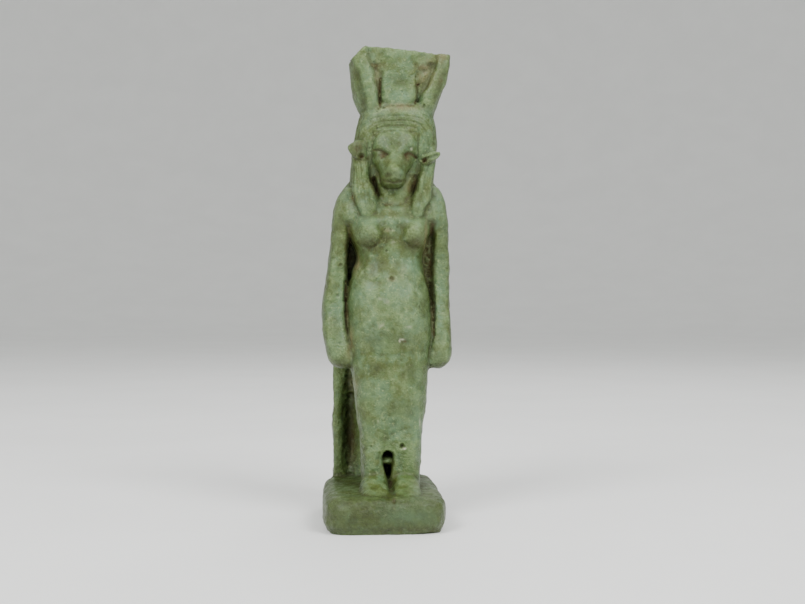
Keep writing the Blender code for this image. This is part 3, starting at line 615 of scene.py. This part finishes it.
def wig_lines(clay):
    """Locks of the wig: grooves in arcs above the face, running straight down beside it.

    On the front a groove follows a line of equal distance from the face, the cube root of the sum
    of the cubes of the way across and the way above; on the sides it follows a line of equal depth.
    """
    above = np.clip(clay.height - 75.1, 0, None)
    beside = np.abs(clay.across)
    ring = (beside**3 + above**3) ** (1 / 3) + np.clip((73.0 - clay.height) / 12, 0, 1) * 2.0
    ring += 0.16 * lumps(clay.points, 1.1, 21) + 0.08 * lumps(clay.points, 0.5, 22)
    turn = TAU * (ring - 5.25) / 1.22
    front_wave = (0.5 + 0.5 * np.cos(turn)) ** 3 + 0.4 * (0.5 - 0.5 * np.cos(turn)) ** 5
    side_wave = 0.5 + 0.5 * np.cos(TAU * clay.forward / 1.15)
    on_front = (clay.forward > 7.0) * (ring > 4.9) * (ring < 11.6) * (clay.height > 61.2)
    on_side = (clay.height > 66.5) * (clay.forward > 0.6) * (beside > 6.5)
    on_face = (beside < 5.0) & (clay.height < 79.9)
    worn = 0.6 + 0.7 * lumps(clay.points, 1.6, 5)
    low = 0.3 + 0.7 * step(clay.height, 66.0, 76.0)
    side = np.clip(np.abs(clay.normals[:, 0]), 0, 1) ** 2
    depth = 0.25 * front_wave * clay.facing**2 * on_front * low + 0.16 * side_wave * side * on_side
    depth *= worn * (clay.height < 84.4) * ~on_face
    clay.points -= clay.normals * (depth * UNIT)[:, None]


def carve_face(clay):
    """Fringe, deep-set eyes beside the nose ridge, nostrils, mouth, throat, and the ears' hollows."""
    fringe = step(clay.height, 80.6, 80.0) * step(clay.height, 77.6, 79.4) * (np.abs(clay.across) < 5.4)
    push(clay, fringe, 0.14, (12, 99))
    groove(clay, [(-5.1, 73.4), (-5.3, 76.0), (-5.2, 79.4)], 0.35, 0.2, (10, 99))
    groove(clay, [(5.0, 73.6), (5.2, 76.0), (5.0, 79.4)], 0.35, 0.2, (10, 99))
    for side, lid, cheek in (
        (LEFT, LEFT_LID, [(-4.9, 74.1), (-4.2, 72.6), (-3.2, 71.0)]),
        (RIGHT, RIGHT_LID, [(4.8, 73.7), (4.1, 72.5), (3.0, 71.0)]),
    ):
        press(clay, side * 3.0, 74.8, 1.6, 1.2, 0.7, (12, 99))
        press(clay, side * 2.3, 73.2, 0.9, 1.5, 0.5, (13, 99))
        press(clay, side * 2.5, 74.4, 0.6, 0.6, 0.55, (12, 99))
        groove(clay, lid, 0.34, 0.8, (12, 99))
        groove(clay, cheek, 0.45, -0.25, (14.4, 99))
        press(clay, side * 3.4, 77.1, 1.6, 0.6, -0.08, (13, 99))
    press(clay, -0.1, 70.9, 1.3, 0.9, -0.6, (17, 99))
    press(clay, -1.7, 69.8, 0.85, 0.5, 1.5, (16, 99))
    press(clay, 1.2, 69.6, 0.6, 0.4, 0.8, (16, 99))
    groove(clay, MOUTH, 0.34, 1.6, (13, 99))
    groove(clay, [(-4.4, 69.6), (-3.9, 68.0), (-3.1, 66.1)], 0.4, 1.9, (7, 14.0))
    groove(clay, [(4.9, 70.2), (4.9, 68.6), (4.7, 67.2)], 0.6, 0.5, (7, 14.0))
    collar = [(-2.9, 65.3), (-1.6, 63.9), (0.6, 63.4), (2.6, 63.9), (4.4, 66.0)]
    groove(clay, collar, 0.55, 0.2, (9, 14.0))
    # Ears: a long hollow inside a thin rim, deepest at the root.
    groove(clay, [(-7.8, 75.6), (-8.6, 76.1), (-9.4, 76.3)], 1.1, 0.35, (11.2, 15.2))
    groove(clay, [(7.0, 74.1), (8.2, 74.5), (9.4, 75.0)], 0.6, 0.7, (11.2, 15.2))
    press(clay, -7.6, 74.6, 0.55, 0.5, 1.4, (11.2, 15.2))
    press(clay, 6.7, 73.7, 0.5, 0.5, 1.4, (11.2, 15.2))


def carve_dress(clay):
    """Navel, the crease below the belly, the line between the feet, and the hollow in the pillar."""
    near = np.hypot(clay.across - 0.05, (clay.height - 46.8) * 0.95)
    ring = 0.1 * np.exp(-(((near - 0.8) / 0.35) ** 2)) - 0.5 * np.exp(-((near / 0.6) ** 2))
    push(clay, ring, -1.0, (12, 99))
    groove(clay, [(-7.4, 30.6), (-3.0, 29.9), (2.0, 29.9), (7.2, 30.7)], 0.8, 0.12, (10, 99))
    groove(clay, [(-0.4, 1.4), (-0.2, -0.6)], 0.35, 0.9, (15.5, 99))
    groove(clay, [(1.2, 2.0), (1.1, -0.6)], 0.3, -0.35, (15.5, 25))
    press(clay, -8.8, 12.0, 1.7, 11.5, 3.2, (-4, 5))


def carve_chest(clay):
    """Breasts, each with a groove below it, the dress's edge, the slits beside the waist, the throat."""
    for x in (-5.0, 5.7):
        spread = ((clay.across - x) / 2.8) ** 2 + ((clay.height - 57.0) / 2.9) ** 2
        mound = 2.9 * UNIT * np.exp(-(spread**1.5))
        clay.points[:, 1] -= mound * np.clip(clay.facing * 1.6, 0, 1) * (clay.forward > 9)
        below = [(x - 2.4, 55.2), (x - 1.2, 54.2), (x, 53.9), (x + 1.2, 54.2), (x + 2.3, 55.2)]
        groove(clay, below, 0.4, 0.25, (11, 99))
    groove(clay, [(-6.9, 60.3), (-2.5, 60.3), (2.5, 60.4), (7.2, 60.1)], 1.0, -0.3, (11, 99))
    for path, half, depth in (
        ([(-10.1, 46.5), (-10.2, 42.0)], 0.28, 1.3),
        ([(-10.2, 42.0), (-10.2, 39.4)], 0.22, 0.7),
        ([(-10.2, 39.4), (-10.0, 36.0)], 0.2, 0.3),
        ([(9.6, 46.0), (10.0, 41.5)], 0.35, 1.1),
        ([(10.0, 41.5), (10.1, 37.5)], 0.28, 0.6),
        ([(10.1, 37.5), (10.0, 33.5)], 0.22, 0.3),
    ):
        groove(clay, path, half, depth, (6, 12))
    press(clay, -0.1, 63.6, 2.2, 0.7, 0.25, (10, 99))


def carve_crown(clay):
    """Deepens the rough hollows between disc and horns, and the cracks along the disc."""
    high = clay.height > 85.5
    rough = 0.7 * lumps(clay.points, 0.5, 11) + 0.3 * lumps(clay.points, 0.24, 12)
    for path, half, depth in (
        ([(-3.9, 88.0), (-4.4, 90.5), (-5.0, 94.2), (-5.6, 95.2)], 0.7, 0.3),
        ([(4.4, 87.4), (5.0, 90.2), (6.0, 94.6), (6.4, 95.0)], 0.95, 0.1),
    ):
        near = distance_to(path, clay.across, clay.height)
        bed = np.exp(-((near / half) ** 2)) * clay.facing * high * (clay.forward > 8)
        clay.points[:, 1] += (depth + 0.25 * rough) * bed * UNIT
    groove(clay, [(-3.9, 86.0), (-4.1, 89.0), (-4.2, 92.5)], 0.2, 0.6, (9, 99))
    groove(clay, [(4.1, 86.9), (4.4, 88.8), (4.5, 91.0)], 0.2, 0.25, (9, 99))
    groove(clay, [(-2.8, 86.25), (0.0, 86.1), (3.6, 86.4)], 0.3, 0.3, (9, 99))


def pits(clay):
    """Burst bubbles: round pits with a faint raised rim.

    Along the normal, a pit of radius r is pushed in by depth times the bell of (distance / r)
    squared, and its rim stands out where the distance is 1.5 r.
    """
    x, height, forward, radius, depth = np.array(NAMED_PITS).T
    centres = place(x, forward, height)
    chance = np.random.default_rng(41)
    pick = chance.integers(0, len(clay.points), RANDOM_PITS)
    centres = np.concatenate([centres, clay.points[pick]])
    radius = np.concatenate([radius, chance.uniform(0.12, 0.26, RANDOM_PITS)]) * UNIT
    depth = np.concatenate([depth, chance.uniform(0.08, 0.3, RANDOM_PITS)]) * UNIT
    move = np.zeros(len(clay.points))
    for centre, r, d in zip(centres, radius, depth):
        close = np.abs(clay.points[:, 2] - centre[2]) < 3 * r
        far = np.linalg.norm(clay.points[close] - centre, axis=1) / r
        move[close] -= d * (np.exp(-(far**2)) - 0.1 * np.exp(-(((far - 1.6) / 0.45) ** 2)))
    clay.points += clay.normals * move[:, None]


def weather(clay):
    """Uneven hand-pressed surface: lumps of three sizes, and roughness where the clay is broken."""
    p = clay.points
    swell = 0.08 * lumps(p, 2.6, 1) + 0.08 * lumps(p, 1.1, 2) + 0.045 * lumps(p, 0.55, 3)
    in_hollow = step(clay.forward, 7.0, 3.0) * step(clay.facing, 0.2, 0.7)
    in_hollow = in_hollow * (clay.height < 30) * (clay.height > -1)
    left_hollow = in_hollow * step(clay.across, -7.0, -8.0) * step(clay.across, -11.0, -10.0)
    in_slits = (clay.across > 7.8) * (clay.across < 9.9) * (clay.height > 36) * (clay.height < 60)
    in_slits = in_slits * (clay.forward < 9.4) * step(clay.facing, 0.2, 0.7)
    broken_top = step(clay.normals[:, 2], 0.5, 0.9) * (clay.height > 92)
    rough = np.abs(lumps(p, 0.75, 7)) + 0.5 * np.abs(lumps(p, 0.33, 8)) - 0.3
    swell -= 0.3 * rough * left_hollow + 0.12 * rough * broken_top + 0.25 * rough * in_slits
    foot_level = (clay.height < 0.6) & (clay.facing > 0.4)
    swell += 0.03 * lumps(p, 0.7, 9) * foot_level
    clay.points += clay.normals * swell[:, None]
    scar = np.hypot((clay.across - 2.7) / 1.0, (clay.height - 32.9) / 0.55)
    push(clay, np.exp(-(scar**4)), 0.16, (14, 99))


# From loose masses to the finished piece.


def joined(masses):
    """One mesh that holds every mass, its faces turned outwards."""
    points = np.concatenate([mass[0] for mass in masses])
    starts = np.cumsum([0] + [len(mass[0]) for mass in masses])
    faces = [[start + i for i in face] for start, mass in zip(starts, masses) for face in mass[1]]
    mesh = bpy.data.meshes.new("clay")
    mesh.from_pydata(points.tolist(), [], faces)
    bm = bmesh.new()
    bm.from_mesh(mesh)
    bmesh.ops.recalc_face_normals(bm, faces=bm.faces)
    bm.to_mesh(mesh)
    bm.free()
    return mesh


def settled(mesh, modifiers):
    """The mesh as these modifiers leave it; each is (type, {setting: value})."""
    holder = bpy.data.objects.new("holder", mesh)
    bpy.context.scene.collection.objects.link(holder)
    for kind, values in modifiers:
        modifier = holder.modifiers.new(kind.title(), kind)
        for name, value in values.items():
            setattr(modifier, name, value)
    graph = bpy.context.evaluated_depsgraph_get()
    result = bpy.data.meshes.new_from_object(holder.evaluated_get(graph))
    bpy.data.objects.remove(holder)
    return result


def cut_off(bm, corners):
    """Cuts away, and closes flat, what lies on the outer side of the plane through three points.

    The points run anticlockwise as seen from outside.
    """
    first, second, third = (Vector(corner) for corner in corners)
    normal = (second - first).cross(third - first)
    everything = bm.verts[:] + bm.edges[:] + bm.faces[:]
    cut = bmesh.ops.bisect_plane(bm, geom=everything, plane_co=first, plane_no=normal, clear_outer=True)
    rim = [e for e in cut["geom_cut"] if isinstance(e, bmesh.types.BMEdge)]
    bmesh.ops.holes_fill(bm, edges=rim)


def sliced(mesh):
    """The mesh cut off flat at the ground, without the plinth's two lost stretches."""
    side, front = PLINTH_WIDTH / 2, -PLINTH_DEPTH / 2
    planes = (
        ((0, 0, 0), (0, 1, 0), (1, 0, 0)),
        ((side - CHIP_LENGTH, front, 0), (side, front + CHIP_DEPTH, 0), (side, front, CHIP_HEIGHT)),
        (
            (-side, front + CORNER_DEPTH, 0),
            (CORNER_WIDTH - side, front, 0),
            (-side, front, CORNER_HEIGHT),
        ),
    )
    bm = bmesh.new()
    bm.from_mesh(mesh)
    for corners in planes:
        cut_off(bm, corners)
    bmesh.ops.triangulate(bm, faces=[face for face in bm.faces if len(face.verts) > 4])
    bmesh.ops.recalc_face_normals(bm, faces=bm.faces)
    bm.to_mesh(mesh)
    bm.free()
    return mesh


def averaged(values, edges, passes):
    """Each value replaced, pass by pass, by the mean of its own and its neighbours' values."""
    count = len(values)
    start, end = edges.T
    share = np.bincount(start, minlength=count) + np.bincount(end, minlength=count) + 1
    for _ in range(passes):
        total = values.copy()
        for column in range(values.shape[1]):
            total[:, column] += np.bincount(start, values[end, column], minlength=count)
            total[:, column] += np.bincount(end, values[start, column], minlength=count)
        values = total / share[:, None]
    return values


def marks(clay, spots, lines=()):
    """The strongest of these soft-edged spots and lines at each point of the front.

    A spot is (x, height, half width, half height, strength) and a line (path, half width, strength);
    the section of each is a bell.
    """
    cover = np.zeros(len(clay.points))
    for x, height, half_x, half_z, strength in spots:
        across, up = (clay.across - x) / half_x, (clay.height - height) / half_z
        cover = np.maximum(cover, strength * np.exp(-(across**2) - up**2))
    cover *= step(clay.facing, 0.0, 0.35)
    for path, half, strength in lines:
        near = distance_to(path, clay.across, clay.height)
        line = strength * np.exp(-((near / half) ** 2)) * step(clay.facing, -0.3, 0.2)
        cover = np.maximum(cover, line)
    return cover


def paint(mesh):
    """Masks for the glaze, from 0 to 1 at each point.

    hollow and edge grow with how far a point lies behind or before the mean of its neighbourhood, once
    for a narrow one and once for a wide one; hollow darkens the crevices as painted shade and holds
    their dirt. deep is painted shade on the flanks and on what faces down, a darkening towards the
    bottom of the plinth's front, and its own marks, mostly painted shade with some dark glaze. The
    others are marks alone, some of them painted highlights.
    """
    clay = Clay(mesh)
    edges = np.empty(len(mesh.edges) * 2, np.int32)
    mesh.edges.foreach_get("vertices", edges)
    edges = edges.reshape(-1, 2)
    near = averaged(clay.points, edges, 5)
    wide = averaged(near, edges, 26)
    rise = np.einsum("ij,ij->i", clay.points - near, clay.normals)
    broad_rise = np.einsum("ij,ij->i", clay.points - wide, clay.normals)
    # The flanks and all that faces down get painted shade; the plinth's front is made darker towards its
    # bottom.
    side = np.abs(clay.normals[:, 0])
    under = step(-clay.normals[:, 2], 0.15, 0.75) * (clay.height > 2)
    low_front = step(clay.height, 1.0, -0.5)
    deep = np.maximum.reduce([
        step(side, 0.3, 0.95) * 0.7, under, low_front, marks(clay, DEEP_SPOTS, DEEP_LINES),
    ])
    edge = np.clip(rise / 0.03, 0, 1) * 0.5 + np.clip((broad_rise - 0.02) / 0.14, 0, 1) * 0.7
    edge *= 1 - 0.8 * np.clip(deep, 0, 1)
    edge *= 1 - 0.7 * marks(clay, FOREHEAD)
    masks = {
        "hollow": np.clip(-rise / 0.03, 0, 1) * 0.6 + np.clip(-broad_rise / 0.16, 0, 1) * 0.6,
        "edge": edge,
        "grime": marks(clay, GRIME_SPOTS, GRIME_LINES),
        "bare": marks(clay, BARE_SPOTS),
        "chip_and_glint": marks(clay, CHIP_AND_GLINT_SPOTS),
        "chalk_and_highlight": marks(clay, CHALK_AND_HIGHLIGHT_SPOTS),
        "deep": deep,
    }
    for name, values in masks.items():
        layer = mesh.attributes.new(name, "FLOAT", "POINT")
        layer.data.foreach_set("value", np.clip(values, 0, 1).astype(np.float32))


def amulet():
    """The finished piece: masses, one skin, carving, pits, weather, cuts and masks."""
    masses = plinth() + pillar() + trunk() + wig() + head() + crown()
    for side in (LEFT, RIGHT):
        masses += leg(side) + arm(side) + ear(side)
    skin = settled(joined(masses), [
        ("REMESH", {"mode": "VOXEL", "voxel_size": CLAY_GRAIN}),
        ("SMOOTH", {"factor": 0.5, "iterations": WEAR_PASSES}),
    ])
    clay = Clay(skin)
    wig_lines(clay)
    carve_face(clay)
    carve_dress(clay)
    carve_chest(clay)
    carve_crown(clay)
    clay = Clay(clay.written())
    weather(clay)
    pits(clay)
    carved = clay.written()
    share = min(1.0, MOST_TRIANGLES / (2 * len(carved.polygons)))
    mesh = sliced(settled(carved, [("DECIMATE", {"ratio": share})]))
    paint(mesh)
    mesh.transform(Matrix.Scale(MM, 4))
    mesh.name = "faience_figure"
    mesh.shade_smooth()
    return bpy.data.objects.new("faience_figure", mesh)


# Glaze.


def cloud_group():
    """Node group: a soft-edged cloud mask, noise of a given size read between two levels."""
    group = bpy.data.node_groups.new("cloud", "ShaderNodeTree")
    settings = {"Size mm": 1.0, "Detail": 3.0, "Low": 0.4, "High": 0.6, "Shift": 0.0}
    for name, default in settings.items():
        socket = group.interface.new_socket(name, in_out="INPUT", socket_type="NodeSocketFloat")
        socket.default_value = default
    group.interface.new_socket("Mask", in_out="OUTPUT", socket_type="NodeSocketFloat")
    nodes, links = group.nodes, group.links
    given, out = nodes.new("NodeGroupInput"), nodes.new("NodeGroupOutput")
    where = nodes.new("ShaderNodeTexCoord")
    pitch = nodes.new("ShaderNodeMath")
    pitch.operation = "DIVIDE"
    pitch.inputs[0].default_value = 1 / MM
    noise = nodes.new("ShaderNodeTexNoise")
    noise.noise_dimensions = "4D"
    noise.inputs["Roughness"].default_value = 0.6
    levels = nodes.new("ShaderNodeMapRange")
    levels.interpolation_type = "SMOOTHSTEP"
    for source, target in (
        (given.outputs["Size mm"], pitch.inputs[1]),
        (where.outputs["Object"], noise.inputs["Vector"]),
        (pitch.outputs[0], noise.inputs["Scale"]),
        (given.outputs["Detail"], noise.inputs["Detail"]),
        (given.outputs["Shift"], noise.inputs["W"]),
        (noise.outputs["Fac"], levels.inputs["Value"]),
        (given.outputs["Low"], levels.inputs["From Min"]),
        (given.outputs["High"], levels.inputs["From Max"]),
        (levels.outputs["Result"], out.inputs["Mask"]),
    ):
        links.new(source, target)
    return group


class Palette:
    """Short ways to add and wire nodes in one material."""

    def __init__(self, name, cloud):
        self.material = bpy.data.materials.new(name)
        self.material.use_nodes = True
        self.nodes, self.links = self.material.node_tree.nodes, self.material.node_tree.links
        self.shader = self.nodes["Principled BSDF"]
        self.cloud_group = cloud

    def feed(self, value, socket):
        if isinstance(value, bpy.types.NodeSocket):
            self.links.new(value, socket)
        else:
            socket.default_value = value

    def cloud(self, size, low, high, shift=0.0, detail=3.0):
        node = self.nodes.new("ShaderNodeGroup")
        node.node_tree = self.cloud_group
        settings = {"Size mm": size, "Detail": detail, "Low": low, "High": high, "Shift": shift}
        for name, value in settings.items():
            node.inputs[name].default_value = value
        return node.outputs["Mask"]

    def mask(self, name):
        node = self.nodes.new("ShaderNodeAttribute")
        node.attribute_name = name
        return node.outputs["Fac"]

    def math(self, operation, a, b=0.0, c=0.0):
        node = self.nodes.new("ShaderNodeMath")
        node.operation = operation
        for value, socket in zip((a, b, c), node.inputs):
            self.feed(value, socket)
        return node.outputs[0]

    def mix(self, share, under, over):
        node = self.nodes.new("ShaderNodeMix")
        node.data_type = "RGBA"
        self.feed(share, node.inputs["Factor"])
        self.feed(under if isinstance(under, bpy.types.NodeSocket) else (*under, 1), node.inputs["A"])
        self.feed(over if isinstance(over, bpy.types.NodeSocket) else (*over, 1), node.inputs["B"])
        return node.outputs["Result"]

    def times(self, a, b):
        return self.math("MULTIPLY", a, b)

    def plus(self, a, b):
        return self.math("ADD", a, b)


def faience(cloud):
    """Green glaze worn to a waxy sheen: clouded, chalky where it lies thinly, brown in its crevices;
    painted shade darkens its flanks, undersides and crevices, and painted highlights sit on its chips,
    flecks and nose.
    """
    p = Palette("faience", cloud)
    hollow, edge, grime = p.mask("hollow"), p.mask("edge"), p.mask("grime")
    bare, chip_and_glint, chalk_and_highlight, deep = p.mask("bare"), p.mask("chip_and_glint"), p.mask("chalk_and_highlight"), p.mask("deep")
    clouds = p.cloud(2.2, 0.43, 0.58, 1.0, detail=4.0)
    tint = p.cloud(1.4, 0.45, 0.6, 2.0, detail=4.0)
    mottle = p.cloud(0.6, 0.38, 0.64, 3.0)
    fine = p.cloud(0.22, 0.34, 0.68, 4.0)
    speck = p.cloud(0.17, 0.66, 0.73, 5.0, detail=1.0)
    bright = p.cloud(0.34, 0.56, 0.66, 6.0, detail=3.0)

    ground = p.mix(clouds, OLIVE, SEA_GREEN)
    colour = p.mix(p.times(tint, 0.8), ground, BLUISH)
    colour = p.mix(p.times(mottle, 0.25), colour, MOTTLE)
    # Dark thick glaze, and painted shade on the flanks, undersides and marked hollows.
    thick_and_shade = p.times(deep, p.math("MULTIPLY_ADD", mottle, 0.3, 0.68))
    colour = p.mix(thick_and_shade, colour, THICK_GLAZE_AND_SHADE)
    # Pale chalky glaze, with a painted highlight on the nose.
    thin_and_highlight = p.times(chalk_and_highlight, p.math("MULTIPLY_ADD", mottle, 0.5, 0.35))
    colour = p.mix(thin_and_highlight, colour, CHALKY_AND_HIGHLIGHT)
    colour = p.mix(p.times(edge, p.math("MULTIPLY_ADD", fine, 0.5, 0.25)), colour, WORN_EDGE)
    colour = p.mix(p.times(bare, p.math("MULTIPLY_ADD", mottle, 0.45, 0.45)), colour, BARE_CLAY)
    colour = p.mix(p.times(hollow, 0.65), colour, HOLLOW_SHADE)
    dirt_base = p.math("MULTIPLY_ADD", hollow, 0.3, 0.45)
    dirt = p.times(grime, p.math("MULTIPLY_ADD", mottle, 0.4, dirt_base))
    colour = p.mix(dirt, colour, BROWN_DIRT)
    # Fine wear and pale flecks fade where the dark glaze and painted shade lie.
    worn = p.math("MULTIPLY_ADD", deep, -0.75, 1.0)
    colour = p.mix(p.times(p.times(fine, 0.22), worn), colour, FINE_WEAR)
    # Pale flecks, partly painted glints.
    fleck_and_glint = p.times(bright, p.math("MULTIPLY_ADD", tint, 0.3, 0.25))
    colour = p.mix(p.times(fleck_and_glint, worn), colour, PALE_FLECK_AND_GLINT)
    colour = p.mix(p.times(speck, 0.5), colour, DARK_SPECK)
    # Fresh chips and painted glints.
    colour = p.mix(chip_and_glint, colour, FRESH_CHIP_AND_GLINT)
    p.feed(colour, p.shader.inputs["Base Color"])

    rough = p.math("MULTIPLY_ADD", mottle, 0.16, 0.36)
    rough = p.plus(rough, p.math("MULTIPLY_ADD", dirt, 0.4, p.times(hollow, 0.18)))
    p.feed(rough, p.shader.inputs["Roughness"])
    relief = p.plus(p.times(fine, 0.5), p.plus(p.times(mottle, 0.7), p.times(speck, -0.5)))
    bump = p.nodes.new("ShaderNodeBump")
    bump.inputs["Strength"].default_value = 0.9
    bump.inputs["Distance"].default_value = 0.075 * MM
    p.feed(relief, bump.inputs["Height"])
    p.feed(bump.outputs["Normal"], p.shader.inputs["Normal"])
    p.shader.inputs["Specular IOR Level"].default_value = 0.4
    p.shader.inputs["Coat Weight"].default_value = 0.1
    p.shader.inputs["Coat Roughness"].default_value = 0.25
    return p.material


def paper(cloud):
    """Pale matt paper of the floor and its upward sweep."""
    p = Palette("pale_paper", cloud)
    tone = p.cloud(30.0, 0.3, 0.7, 8.0)
    p.feed(p.mix(tone, (0.86, 0.86, 0.85), (0.89, 0.89, 0.88)), p.shader.inputs["Base Color"])
    p.shader.inputs["Roughness"].default_value = 0.85
    return p.material


# Studio.


def sweep(material):
    """A round floor that curves up into a wall far off: a profile of flat, quarter circle and wall."""
    turn = np.linspace(0, math.pi / 2, 16)
    radius = np.concatenate([[0.0005, 0.1, 0.3], 0.7 + 0.5 * np.sin(turn), [1.2]])
    height = np.concatenate([[0, 0, 0], 0.5 - 0.5 * np.cos(turn), [1.0]])
    sides = 96
    around = np.linspace(0, TAU, sides, endpoint=False)
    points = np.stack([
        radius[:, None] * np.cos(around), radius[:, None] * np.sin(around), height[:, None] + 0 * around,
    ], axis=-1)
    quads = ring_quads(len(radius), sides)[:, [0, 3, 2, 1]]
    mesh = bpy.data.meshes.new("sweep")
    mesh.from_pydata(points.reshape(-1, 3).tolist(), [], quads.tolist() + [list(range(sides))])
    mesh.shade_smooth()
    mesh.materials.append(material)
    floor = bpy.data.objects.new("floor", mesh)
    bpy.context.scene.collection.objects.link(floor)
    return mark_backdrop(floor)


def soft_light(name, azimuth, elevation, size, power, distance):
    """A square soft light aimed at the figure's chest; azimuth 0 is straight in front of it."""
    a, e = math.radians(azimuth), math.radians(elevation)
    aim = Vector(CHEST) * MM
    away = Vector((math.sin(a) * math.cos(e), -math.cos(a) * math.cos(e), math.sin(e)))
    lamp = bpy.data.lights.new(name, "AREA")
    lamp.size = size
    lamp.energy = power
    holder = bpy.data.objects.new(name, lamp)
    holder.location = aim + away * distance
    holder.rotation_euler = away.to_track_quat("Z", "Y").to_euler()
    holder.visible_camera = False
    bpy.context.scene.collection.objects.link(holder)


def studio():
    """Two soft lights on both sides of the camera, a weak one behind, and a pale sky."""
    soft_light("key_left", -44, 42, 0.12, 0.62, 0.28)
    soft_light("key_right", 40, 42, 0.12, 0.62, 0.28)
    soft_light("back", 165, 50, 0.16, 0.26, 0.30)
    world = bpy.data.worlds.new("pale_sky")
    world.use_nodes = True
    sky = world.node_tree.nodes["Background"]
    sky.inputs["Color"].default_value = (0.98, 1.0, 0.98, 1)
    sky.inputs["Strength"].default_value = 0.8
    bpy.context.scene.world = world


def camera():
    """Level with the figure's middle, a little round to -X, as in the photograph."""
    turn = math.radians(CAMERA_TURN)
    view = Vector((math.sin(turn), math.cos(turn), 0))
    beside = Vector((math.cos(turn), -math.sin(turn), 0))
    lens = bpy.data.cameras.new("camera")
    lens.lens = FOCAL_LENGTH
    lens.sensor_width = 36.0
    lens.clip_start = 0.001
    lens.clip_end = 20.0
    eye = bpy.data.objects.new("camera", lens)
    eye.location = (Vector(CAMERA_AIM) - CAMERA_DISTANCE * view + CAMERA_SHIFT * beside) * MM
    eye.rotation_euler = (math.radians(90), 0, -turn)
    bpy.context.scene.collection.objects.link(eye)
    bpy.context.scene.camera = eye


cloud = cloud_group()
camera()
studio()
sweep(paper(cloud))
figure = amulet()
bpy.context.scene.collection.objects.link(figure)
figure.data.materials.clear()
figure.data.materials.append(faience(cloud))
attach(figure, "root")
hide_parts("hathor_statue")

print("faience_figure", len(figure.data.polygons), "faces")
